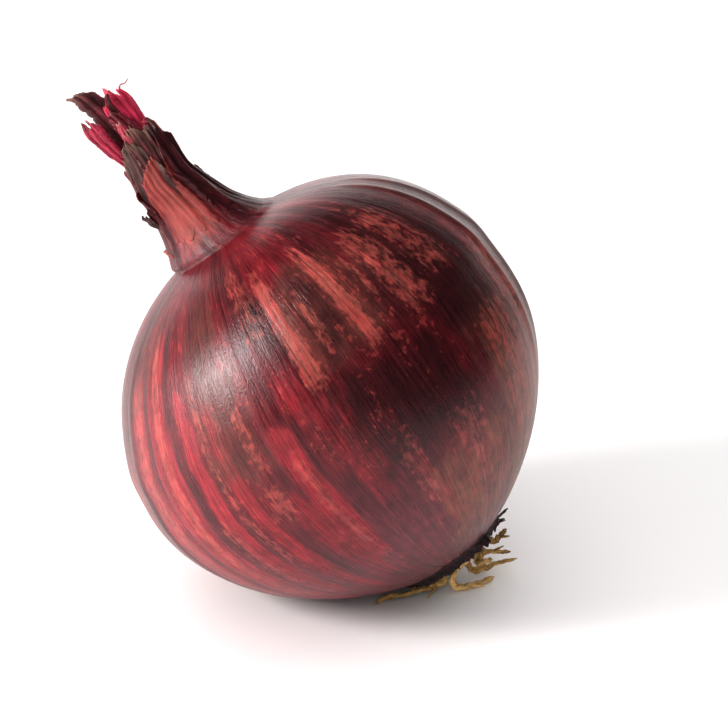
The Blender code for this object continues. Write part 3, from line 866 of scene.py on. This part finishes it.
def skirt_mesh():
    """The torn ends of the skins round the plate: from just over the bulb's end to a ragged, pointed
    lower edge."""
    around = full_turn(420, -math.pi)
    degrees = np.degrees(around)
    share = shares(14)
    turn = around / (2 * math.pi)
    reach = 0.75 + 0.55 * waver(turn, 71, 12, 90, 0.35) + 0.5 * np.maximum(waver(turn, 72, 5, 22, 0.5), 0)
    front = np.exp(-(((degrees - 25) / 42) ** 4))
    reach = np.maximum(reach * (1 + 0.9 * front), 0.12)
    height = BULB_END + 0.9 - (reach[None, :] + 0.9) * share
    radius = profile_radius(np.maximum(height, BULB_END)) + 0.16
    below = np.maximum(BULB_END - height, 0)
    radius = radius - 0.55 * below + 0.35 * waver(turn, 73, 9, 60, 0.5)[None, :] * ease(share, 0.4, 1.0)
    radius = radius + below * 0.9 * front[None, :] * np.maximum(waver(turn, 74, 6, 30, 0.5), -0.2)[None, :]
    radius = radius - 0.4 * (1 - ease(share, 0.0, 0.25))
    points = lay(round_place(around[None, :] + 0 * height, height, radius))
    points[..., 2] = np.maximum(points[..., 2], 0.15 * MM)
    mesh = sheet_mesh("root_end_skirt", points, wrap=True)
    write_marks(mesh, "root_tone", 0.0, 0.95, share + 0 * height)
    write_marks(mesh, "root_place", around[None, :] * 8, 1.0, height / 3)
    return mesh


# Roots: how each leaves the plate, as a direction and a share of its radius, its thickness there and at its
# tip, the places it passes over the table, and how pale and how dark it is.
ROOTS = named(
    ("leaves", "thick", "tone", "passes"),
    ("root_front_long", (-135, 0.6), (1.2, 0.6), (0.15, 0.35), [(19.2, -6.5, 1.7), (16.1, -8.5, 1.4),
     (12.6, -9.7, 1.2), (10.9, -11.0, 0.8), (10.1, -12.1, 0.5)]),
    ("root_pale_low", (-115, 0.42), (1.2, 0.9), (0.85, 0.0), [(23.2, -3.9, 1.5), (24.5, -4.1, 0.9),
     (26.4, -2.9, 0.7), (28.1, -1.4, 0.6), (30.5, 1.1, 0.7)]),
    ("root_pale_curl", (-45, 0.22), (1.0, 0.8), (0.95, 0.0), [(25.0, -2.1, 4.4), (23.6, -2.3, 3.7),
     (22.6, -2.7, 3.2), (21.4, -2.9, 2.7)]),
    ("root_right_long", (-20, 0.1), (1.1, 0.7), (0.3, 0.45), [(26.2, 0.8, 2.2), (28.6, 2.4, 1.6),
     (30.3, 4.6, 1.7), (32.2, 5.6, 1.8), (34.4, 6.5, 2.1)]),
    ("root_right_bright", (-20, 0.4), (1.1, 0.8), (0.75, 0.0), [(27.3, -0.2, 4.0), (28.2, 1.6, 3.3),
     (30.0, 3.5, 3.1)]),
    ("root_right_bent", (30, 0.42), (1.1, 0.7), (0.2, 0.55), [(28.4, 4.1, 4.4), (29.9, 5.0, 3.9),
     (31.4, 5.7, 3.7), (33.2, 6.4, 3.5)]),
    ("root_right_high", (4, 0.62), (1.0, 0.8), (0.15, 0.7), [(30.2, 2.8, 7.0), (31.2, 3.6, 7.8),
     (32.4, 4.3, 9.0)]),
    ("root_stub_right", (52, 0.62), (0.8, 0.5), (0.1, 0.7), [(28.6, 6.6, 5.8), (29.9, 6.9, 5.9)]),
    ("root_stub_front", (-52, 0.62), (0.9, 0.5), (0.15, 0.75), [(27.6, -3.9, 6.0), (28.3, -4.8, 6.8)]),
    ("root_back_long", (118, 0.55), (1.1, 0.5), (0.4, 0.25), [(21.3, 7.6, 0.9), (22.3, 11.2, 0.7),
     (24.1, 14.2, 0.7), (24.5, 17.6, 0.5)]),
    ("root_back_low", (104, 0.8), (1.0, 0.5), (0.3, 0.3), [(18.7, 10.4, 1.4), (16.1, 11.6, 0.8),
     (13.9, 13.6, 0.7), (11.1, 14.4, 0.5)]),
    ("root_back_curl", (78, 0.6), (1.0, 0.6), (0.6, 0.1), [(26.3, 7.8, 3.6), (27.9, 10.4, 3.4),
     (27.3, 12.8, 2.6), (28.9, 15.0, 1.6)]),
    ("root_stub_back", (88, 0.84), (0.8, 0.5), (0.15, 0.6), [(24.3, 10.6, 5.0), (25.3, 11.8, 5.6)]),
    ("root_stub_low", (-178, 0.3), (0.9, 0.6), (0.4, 0.3), [(21.6, -1.2, 1.5), (20.2, -1.4, 0.8)]),
)
OVER_TABLE = 0.02
ROOT_ROWS = 90
ROOT_SIDES = 16


def plate_exit(direction, share):
    """A point of the plate's dome and the outward direction there, in the onion's frame."""
    around = math.radians(direction)
    flat = np.array([math.cos(around), math.sin(around), 0])
    depth = PLATE_DOME * math.sqrt(1 - share**2)
    point = flat * PLATE_RADIUS * share + np.array([0, 0, PLATE_TOP - PLATE_RIM - depth])
    normal = flat * share / PLATE_RADIUS + np.array([0, 0, -depth / PLATE_DOME**2])
    return point, normal / np.linalg.norm(normal)


def tube(middle, radius, seed, lumps, sides):
    """A strand: a ring square to the route at each station, its radius broken by grooves, nodes and
    shrivelling."""
    step = np.gradient(middle, axis=0)
    step /= np.linalg.norm(step, axis=1)[:, None]
    spread = np.abs(step).max(axis=0)
    away = np.eye(3)[int(np.argmin(spread))]
    first = np.cross(step, away)
    first /= np.linalg.norm(first, axis=1)[:, None]
    second = np.cross(step, first)
    around = full_turn(sides)[None, :]
    share = shares(len(middle))
    twist = around + 2.4 * waver(share[:, 0], seed + 4, 1, 4, 1.0)[:, None]
    grooves = 0.13 * np.cos(4 * twist) + 0.07 * np.cos(7 * twist + 1.0)
    nodes = lumps * waver(share[:, 0], seed + 5, 4, 40, 0.45)[:, None]
    flat = 1 + 0.16 * np.cos(2 * around + 5 * share)
    reach = radius[:, None] * (1 + grooves + nodes) * flat
    ends = np.minimum(ease(share, -0.004, 0.012), 1 - ease(share, 0.93, 1.0) * 0.72)
    reach = reach * np.maximum(ends, 0.12)
    return (
        middle[:, None, :] + (reach * np.cos(around))[..., None] * first[:, None, :]
        + (reach * np.sin(around))[..., None] * second[:, None, :]
    )


def strand_mesh(name, middle, ends, seed, lumps=0.16, sides=ROOT_SIDES):
    """A tube on its route, as thick as ends says at its start and tip, that never sinks under the table."""
    radius = np.linspace(*ends, len(middle)) / 2 * MM
    points = tube(middle, radius, seed, lumps, sides)
    points[..., 2] = np.maximum(points[..., 2], OVER_TABLE * MM)
    return sheet_mesh(name, points, wrap=True, caps=True)


def root_route(root, seed):
    """The root's route in metres: off the plate, through its places, with a slight crooked wander."""
    start, outward = plate_exit(*root["leaves"])
    near = [lay(start - outward * 0.5), lay(start + outward * 0.4), lay(start + outward * 1.6)]
    places = [(UNDER_BULB + np.array(place)) * MM for place in root["passes"]]
    middle = along_route([*near, *places], ROOT_ROWS)
    share = np.linspace(0, 1, ROOT_ROWS)
    wander = np.stack([waver(share, seed + k, 2, 14, 0.9) for k in range(3)], axis=1)
    return middle + wander * (0.28 * MM * np.sin(share * math.pi) ** 0.5)[:, None]


def root_mesh(name, root, seed):
    """A dried root: its strand and what is kept at each point of it."""
    middle = root_route(root, seed)
    mesh = strand_mesh(name, middle, root["thick"], seed)
    write_root_marks(mesh, middle, root["tone"])
    return mesh


def write_root_marks(mesh, middle, tone, sides=ROOT_SIDES):
    """Keeps how pale and dark the root is, its share of length, and its growth place."""
    length = run_length(middle) / MM
    share = shares(len(middle))
    around = full_turn(sides)[None, :]
    write_marks(mesh, "root_tone", *tone, share + 0 * around)
    write_marks(mesh, "root_place", np.cos(around), np.sin(around), length[:, None] / 3)


def rootlet_route(root, seed, at, turn, reach):
    """A side rootlet: leaves the root at a share of its length, sideways and a little on, and bends on along
    the root.
    """
    middle = root_route(root, seed)
    index = int(at * (ROOT_ROWS - 1))
    here = middle[index]
    step = middle[min(index + 3, ROOT_ROWS - 1)] - middle[max(index - 3, 0)]
    step /= np.linalg.norm(step)
    side = np.cross(step, [0, 0, 1])
    side /= np.linalg.norm(side)
    way = step * 0.5 + side * math.cos(turn) + np.cross(side, step) * math.sin(turn)
    way /= np.linalg.norm(way)
    reach = reach * 1.35
    ends = [here, here + way * reach * 0.4 * MM, here + (way * reach * 0.75 + step * 0.3) * MM,
            here + (way * reach + step * 0.7) * MM]
    return along_route(ends, ROOTLET_ROWS)


ROOTLET_THICK = (0.68, 0.24)
ROOTLET_ROWS = 24
# Side rootlets: the root each grows from, the share of its length, the turn round it and the length.
ROOTLETS = [
    ("root_front_long", 0.46, 0.4, 1.6), ("root_front_long", 0.70, 3.6, 1.1),
    ("root_pale_low", 0.62, 0.3, 1.8), ("root_pale_low", 0.86, 3.3, 1.2),
    ("root_right_long", 0.60, 3.4, 2.0), ("root_right_long", 0.82, 0.5, 1.4),
    ("root_right_bent", 0.70, 0.8, 1.5), ("root_pale_curl", 0.80, 2.8, 1.4),
    ("root_right_high", 0.75, 0.4, 1.2), ("root_back_long", 0.50, 0.3, 1.8),
    ("root_back_low", 0.62, 3.3, 1.6), ("root_back_curl", 0.60, 0.2, 1.6),
    ("root_right_bright", 0.8, 3.0, 1.3), ("root_pale_low", 0.30, 2.6, 2.6),
    ("root_right_long", 0.35, 0.9, 2.6), ("root_front_long", 0.22, 3.3, 2.4),
    ("root_right_bent", 0.45, 3.9, 2.2), ("root_pale_curl", 0.55, 0.7, 1.8),
    ("root_stub_right", 0.70, 0.4, 1.4), ("root_right_bright", 0.55, 0.3, 2.2),
]


def root_material(sizes):
    """Dried root: golden tan bark with dark grooves and bands."""
    look, tree, shader = new_material("Dried root")
    place = put(tree, "ShaderNodeAttribute", attribute_name="root_place").outputs["Vector"]
    pale, dark, _ = parts_of(tree, "root_tone")
    bark = lines(tree, place, 1.6, 0.7, 0.38, 0.62)
    fine = lines(tree, place, 4.5, 2.6, 0.3, 0.7)
    tooth = grain(tree, 0.00025)
    colour = blend_colour(tree, pale, sizes.root_golden, sizes.root_pale)
    dark_share = flaked(tree, times(tree, dark, 0.8), place, 1.4, 1.0, 1.5, 0.3)
    colour = layer(tree, colour, dark_share, 0.85, sizes.root_dark)
    groove = maths(tree, "SUBTRACT", 1.0, bark["Mask"])
    colour = layer(tree, colour, groove, 0.35, sizes.root_groove)
    colour = shaded(
        tree, colour,
        between(tree, fine["Height"], 0.25, 0.75, 0.55, 1.35),
        between(tree, tooth["Mottle"], 0.3, 0.7, 0.75, 1.2),
    )
    rough = between(tree, fine["Height"], 0.2, 0.8, 0.62, 0.86)
    height = summed(tree, (fine["Height"], 0.8), (bark["Height"], 1.0), (tooth["Height"], 0.4))
    finish_surface(tree, shader, colour, rough, height, 0.00020)
    return look


def plate_material(sizes):
    """Basal plate and torn skin ends: maroon-black crust with patches of brown dust."""
    look, tree, shader = new_material("Root plate")
    place = put(tree, "ShaderNodeAttribute", attribute_name="root_place").outputs["Vector"]
    bark = lines(tree, place, 2.2, 1.4, 0.40, 0.66)
    tooth = grain(tree, 0.00045)
    colour = blend_colour(tree, bark["Mask"], sizes.plate_black, sizes.plate_maroon)
    dust = between(tree, tooth["Mottle"], 0.52, 0.72)
    colour = layer(tree, colour, dust, 0.5, sizes.plate_brown)
    rough = between(tree, tooth["Height"], 0.3, 0.7, 0.55, 0.85)
    height = maths(tree, "ADD", tooth["Height"], times(tree, bark["Height"], 1.4))
    finish_surface(tree, shader, colour, rough, height, 0.0004)
    return look


# ---- Settings ------------------------------------------------------------------------------------


def colour_setting(name, text, default):
    return bpy.props.FloatVectorProperty(
        name=name, description=text, default=default, min=0, max=1, size=3, subtype="COLOR"
    )


def number_setting(name, text, default, **limits):
    return bpy.props.FloatProperty(name=name, description=text, default=default, **limits)


class OnionSkinSettings(bpy.types.PropertyGroup):
    """Colours and gloss of the onion's skin."""

    crimson: colour_setting("Crimson", "Film where it lies thin and even", (0.145, 0.008, 0.014))
    maroon: colour_setting("Maroon", "Film where it lies thicker", (0.060, 0.005, 0.008))
    darkest: colour_setting("Darkest", "Film where it is thickest", (0.028, 0.004, 0.006))
    clear_red: colour_setting("Clear red", "Streaks where the film is clear", (0.27, 0.014, 0.024))
    salmon: colour_setting("Salmon", "Bare stripes, at their palest", (0.52, 0.125, 0.092))
    salmon_red: colour_setting("Salmon red", "Bare stripes, at their reddest", (0.37, 0.052, 0.044))
    pale_pink: colour_setting("Pale pink", "Bare stripes towards the root end", (0.40, 0.088, 0.098))
    brown: colour_setting("Brown film", "Dried film on the upper half", (0.105, 0.030, 0.023))
    brown_low: colour_setting("Brown film low", "Dried film near the root end", (0.24, 0.082, 0.044))
    # Colour of the painted reflection of the pale floor on the lower bulb.
    floor_reflection_veil: colour_setting("Purple veil", "Film towards the root end", (0.155, 0.024, 0.036))
    gloss_low: number_setting(
        "Smoothest", "Roughness of the tops of the lines", 0.24, min=0, max=1, subtype="FACTOR"
    )
    gloss_high: number_setting(
        "Roughest", "Roughness between the lines", 0.37, min=0, max=1, subtype="FACTOR"
    )


class OnionLeafSettings(bpy.types.PropertyGroup):
    """Colours and thickness of the dried sheaths and leaf ends."""

    leaf_maroon: colour_setting("Maroon", "Dried leaf where it is darkest", (0.050, 0.006, 0.010))
    leaf_crimson: colour_setting("Crimson", "Dried leaf between its veins", (0.15, 0.010, 0.022))
    leaf_pink: colour_setting("Pink", "The bright leaf ends", (0.80, 0.045, 0.14))
    leaf_rose: colour_setting("Rose", "The veins of the bright leaf ends", (0.52, 0.016, 0.06))
    leaf_brown: colour_setting("Brown", "Weathered outer leaf", (0.040, 0.016, 0.011))
    leaf_tan: colour_setting("Tan", "Frayed margins", (0.42, 0.27, 0.19))
    leaf_salmon: colour_setting("Salmon", "Bare patches of the leaf", (0.52, 0.15, 0.11))
    sheath_wall: number_setting(
        "Sheath thickness", "Wall of the torn sheaths", 0.00022, min=0.00005, unit="LENGTH"
    )
    leaf_wall: number_setting("Leaf thickness", "Wall of the leaf ends", 0.00034, min=0.00005, unit="LENGTH")


class OnionRootSettings(bpy.types.PropertyGroup):
    """Colours of the basal plate and the roots."""

    root_golden: colour_setting("Golden", "Root bark", (0.66, 0.40, 0.12))
    root_pale: colour_setting("Pale", "Bark worn to the pale strands", (0.95, 0.62, 0.27))
    root_dark: colour_setting("Dark", "Shrivelled bark", (0.20, 0.115, 0.040))
    root_groove: colour_setting("Grooves", "Dirt in the grooves", (0.17, 0.085, 0.032))
    plate_black: colour_setting("Plate black", "Crust of the plate", (0.009, 0.003, 0.004))
    plate_maroon: colour_setting("Plate maroon", "Skin ends round the plate", (0.036, 0.006, 0.009))
    plate_brown: colour_setting("Plate brown", "Dust in the hollows", (0.07, 0.036, 0.022))
    skirt_wall: number_setting(
        "Torn skin thickness", "Wall of the torn skin ends", 0.0002, min=0.00005, unit="LENGTH"
    )


class OnionStageSettings(bpy.types.PropertyGroup):
    """Floor, lights and camera."""

    floor_width: number_setting("Floor width", "Side of the floor", 6.0, unit="LENGTH")
    floor_colour: colour_setting("Floor colour", "Plain pale floor", (0.90, 0.885, 0.88))
    window_power: number_setting("Window power", "Power of the large soft light in watts", 3.4, min=0)
    overhead_power: number_setting("Overhead power", "Power of the wide overhead light in watts", 52.0, min=0)
    sky_bright: number_setting("Bright side", "Strength of the light from above and behind", 2.6, min=0)
    sky_dim: number_setting("Dim side", "Strength of the light from the viewer's side", 0.06, min=0)
    camera_azimuth: number_setting(
        "Camera azimuth", "Direction round the onion", math.radians(6.7), unit="ROTATION"
    )
    camera_elevation: number_setting(
        "Camera elevation", "Angle over the table", math.radians(20), unit="ROTATION"
    )
    camera_distance: number_setting(
        "Camera distance", "From the onion's middle", 0.36, min=0.1, unit="LENGTH"
    )


# ---- Operators -----------------------------------------------------------------------------------


class ONION_OT_skin(bpy.types.Operator):
    """Make the skin of the bulb and neck"""

    bl_idname = "onion.skin"
    bl_label = "Skin"

    def execute(self, context):
        look = skin_material(context.scene.onion_skin)
        settle(skin_mesh(), "onion_skin_piece", look, ["bulb"])
        return {"FINISHED"}


class ONION_OT_sheaths(bpy.types.Operator):
    """Make the torn sheaths round the neck"""

    bl_idname = "onion.sheaths"
    bl_label = "Neck sheaths"

    def execute(self, context):
        sizes = context.scene.onion_leaf
        look = leaf_material(sizes)
        for count, (name, sheath) in enumerate(SHEATHS.items()):
            made = sheath_mesh(name, sheath, 100 + 10 * count)
            if sheath["tone"] is None:
                settle(made, name, bpy.data.materials["Onion skin"], (), sizes.sheath_wall)
            else:
                settle(made, name, look, (), sizes.sheath_wall)
        return {"FINISHED"}


class ONION_OT_leaf_ends(bpy.types.Operator):
    """Make the dried leaf ends, the small strips and the fibre among them, and the husk scraps"""

    bl_idname = "onion.leaf_ends"
    bl_label = "Leaf ends"

    def execute(self, context):
        sizes = context.scene.onion_leaf
        look = bpy.data.materials["Dried leaf"]
        for count, (name, leaf) in enumerate(LEAF_ENDS.items()):
            made = blade_mesh(name, leaf, 200 + 10 * count)
            settle(made, name + "_blade", look, [name], sizes.leaf_wall)
        for count, (name, flake) in enumerate(PLATE_FLAKES.items()):
            leaf = {**flake, "route": [own_place(place) for place in flake["over_table"]]}
            settle(blade_mesh(name, leaf, 360 + 10 * count), name, look, (), sizes.sheath_wall)
        for count, (name, leaf) in enumerate(LEAF_STRIPS.items()):
            settle(blade_mesh(name, leaf, 300 + 10 * count), name, look, (), sizes.sheath_wall)
        route = lay(along_route(FIBRE_ROUTE, FIBRE_ROWS))
        fibre = strand_mesh("leaf_fibre", route, FIBRE_THICK, 391, 0.1, THIN_SIDES)
        write_marks(fibre, "leaf_place", 1.0, 1.0, 1.0)
        write_marks(fibre, "leaf_tone", 0.6, 0.0, 0.6)
        write_marks(fibre, "leaf_torn", 0.0, 0.0, 0.0)
        settle(fibre, "leaf_fibre", look, ())
        return {"FINISHED"}


class ONION_OT_plate(bpy.types.Operator):
    """Make the basal plate and the torn skin ends round it"""

    bl_idname = "onion.plate"
    bl_label = "Basal plate"

    def execute(self, context):
        sizes = context.scene.onion_root
        look = plate_material(sizes)
        settle(plate_mesh(), "basal_plate_crust", look, ["basal_plate"])
        settle(skirt_mesh(), "root_end_skirt", look, (), sizes.skirt_wall)
        return {"FINISHED"}


class ONION_OT_roots(bpy.types.Operator):
    """Make the dried roots and their side rootlets"""

    bl_idname = "onion.roots"
    bl_label = "Roots"

    def execute(self, context):
        look = root_material(context.scene.onion_root)
        seeds = {name: 400 + 10 * count for count, name in enumerate(ROOTS)}
        for name, root in ROOTS.items():
            settle(root_mesh(name, root, seeds[name]), name + "_strand", look, [name])
        for count, (name, at, turn, reach) in enumerate(ROOTLETS):
            route = rootlet_route(ROOTS[name], seeds[name], at, turn, reach)
            mesh = strand_mesh(f"rootlet_{count}", route, ROOTLET_THICK, 600 + count, 0.2, THIN_SIDES)
            write_root_marks(mesh, route, ROOTS[name]["tone"], THIN_SIDES)
            settle(mesh, f"rootlet_{count:02d}", look, ())
        return {"FINISHED"}


class ONION_OT_stage(bpy.types.Operator):
    """Make the floor, the lights and the camera"""

    bl_idname = "onion.stage"
    bl_label = "Stage"

    def execute(self, context):
        sizes = context.scene.onion_stage
        make_floor(sizes)
        make_lights(sizes)
        make_camera(sizes)
        context.scene.view_settings.view_transform = "Standard"
        context.scene.view_settings.gamma = GAMMA
        return {"FINISHED"}


GAMMA = 0.86
FLOOR_GREY = (0.86, 0.85, 0.85)
WINDOW_WAY = (-0.835, -0.414, 0.353)
WINDOW_AWAY = 0.50
WINDOW_SIZE = (0.15, 0.19)
OVERHEADS = {"overhead_front": (-0.3, -1.3, 1.3), "overhead_back": (0.3, 1.2, 1.5)}
OVERHEAD_SIZE = (3.6, 3.6)
AIM_RIGHT = 6.66 * MM
AIM_UP = 4.47 * MM


def make_floor(sizes):
    """A flat square under the onion."""
    half = sizes.floor_width / 2
    corners = np.array([[[-half, -half, 0], [half, -half, 0]], [[-half, half, 0], [half, half, 0]]])
    look, tree, shader = new_material("Pale floor")
    tooth = grain(tree, 0.0006)
    cloud = between(tree, tooth["Mottle"], 0.3, 0.7, 0.0, 0.06)
    colour = blend_colour(tree, cloud, sizes.floor_colour, FLOOR_GREY)
    tree.links.new(colour, shader.inputs["Base Color"])
    shader.inputs["Roughness"].default_value = 0.6
    shader.inputs["Specular IOR Level"].default_value = 0.1
    mesh = sheet_mesh("floor", corners)
    mesh.materials.append(look)
    floor = bpy.data.objects.new("floor", mesh)
    bpy.context.scene.collection.objects.link(floor)


def make_lights(sizes):
    """A room that is bright above, behind and to the sides and dimmer in front, and one large window."""
    world = bpy.data.worlds.new("Soft room")
    bpy.context.scene.world = world
    world.use_nodes = True
    tree = world.node_tree
    back = tree.nodes["Background"]
    way = put(tree, "ShaderNodeTexCoord").outputs["Generated"]
    x, y, z = put(tree, "ShaderNodeSeparateXYZ", {0: way}).outputs
    lean = maths(tree, "ADD", y, times(tree, x, -0.30))
    lean = maths(tree, "SUBTRACT", lean, times(tree, z, 0.60))
    strength = between(tree, lean, 0.48, 0.98, sizes.sky_dim, sizes.sky_bright)
    seen = put(tree, "ShaderNodeLightPath").outputs["Is Camera Ray"]
    strength = maths(tree, "MAXIMUM", strength, seen)
    tree.links.new(strength, back.inputs["Strength"])
    back.inputs["Color"].default_value = (1.0, 0.995, 0.99, 1)

    middle = (np.array(CAD_BOX[0]) + np.array(CAD_BOX[1])) / 2
    toward = np.array(WINDOW_WAY)
    add_light("window", middle + toward * WINDOW_AWAY, -toward, WINDOW_SIZE, sizes.window_power)
    for name, place in OVERHEADS.items():
        place = np.array(place)
        lamp = add_light(name, place, middle - place, OVERHEAD_SIZE, sizes.overhead_power)
        lamp.visible_glossy = False


def add_light(name, place, way, size, power):
    data = bpy.data.lights.new(name, "AREA")
    data.shape = "RECTANGLE"
    data.size, data.size_y = size
    data.energy = power
    lamp = bpy.data.objects.new(name, data)
    lamp.location = place
    lamp.rotation_euler = turn_along(way)
    bpy.context.scene.collection.objects.link(lamp)
    return lamp


def turn_along(way):
    """The turn that points a light's or camera's -Z along the given way with its Y upward."""
    return Vector(way).to_track_quat("-Z", "Y").to_euler()


def make_camera(sizes):
    """The camera, aimed a little beside the onion's own middle."""
    az, el = sizes.camera_azimuth, sizes.camera_elevation
    back = np.array([math.sin(az) * math.cos(el), -math.cos(az) * math.cos(el), math.sin(el)])
    right = np.array([math.cos(az), math.sin(az), 0])
    up = np.cross(back, right)
    aim = lying_middle() * MM + right * AIM_RIGHT + up * AIM_UP
    data = bpy.data.cameras.new("camera")
    data.lens = 100
    data.sensor_width = 36
    camera = bpy.data.objects.new("camera", data)
    camera.location = aim + back * sizes.camera_distance
    camera.rotation_euler = turn_along(-back)
    bpy.context.scene.collection.objects.link(camera)
    bpy.context.scene.camera = camera


class ONION_PT_panel(bpy.types.Panel):
    """The pieces of the onion and their settings"""

    bl_label = "Red Onion"
    bl_idname = "ONION_PT_panel"
    bl_space_type = "VIEW_3D"
    bl_region_type = "UI"
    bl_category = "Red Onion"

    def draw(self, context):
        for operator, settings in STEPS:
            box = self.layout.box()
            box.operator(operator.bl_idname)
            group = getattr(context.scene, settings)
            for key in group.__annotations__:
                box.prop(group, key)


STEPS = [
    (ONION_OT_skin, "onion_skin"),
    (ONION_OT_sheaths, "onion_leaf"),
    (ONION_OT_leaf_ends, "onion_leaf"),
    (ONION_OT_plate, "onion_root"),
    (ONION_OT_roots, "onion_root"),
    (ONION_OT_stage, "onion_stage"),
]
SETTINGS = {
    "onion_skin": OnionSkinSettings,
    "onion_leaf": OnionLeafSettings,
    "onion_root": OnionRootSettings,
    "onion_stage": OnionStageSettings,
}
CLASSES = [*SETTINGS.values(), *[operator for operator, _ in STEPS], ONION_PT_panel]


def register():
    for made in CLASSES:
        bpy.utils.register_class(made)
    for name, group in SETTINGS.items():
        setattr(bpy.types.Scene, name, bpy.props.PointerProperty(type=group))


def unregister():
    for name in SETTINGS:
        delattr(bpy.types.Scene, name)
    for made in reversed(CLASSES):
        bpy.utils.unregister_class(made)


def main():
    register()
    bpy.ops.onion.skin()
    bpy.ops.onion.sheaths()
    bpy.ops.onion.leaf_ends()
    bpy.ops.onion.plate()
    bpy.ops.onion.roots()
    bpy.ops.onion.stage()
    bpy.context.view_layer.update()


if __name__ == "__main__":
    main()
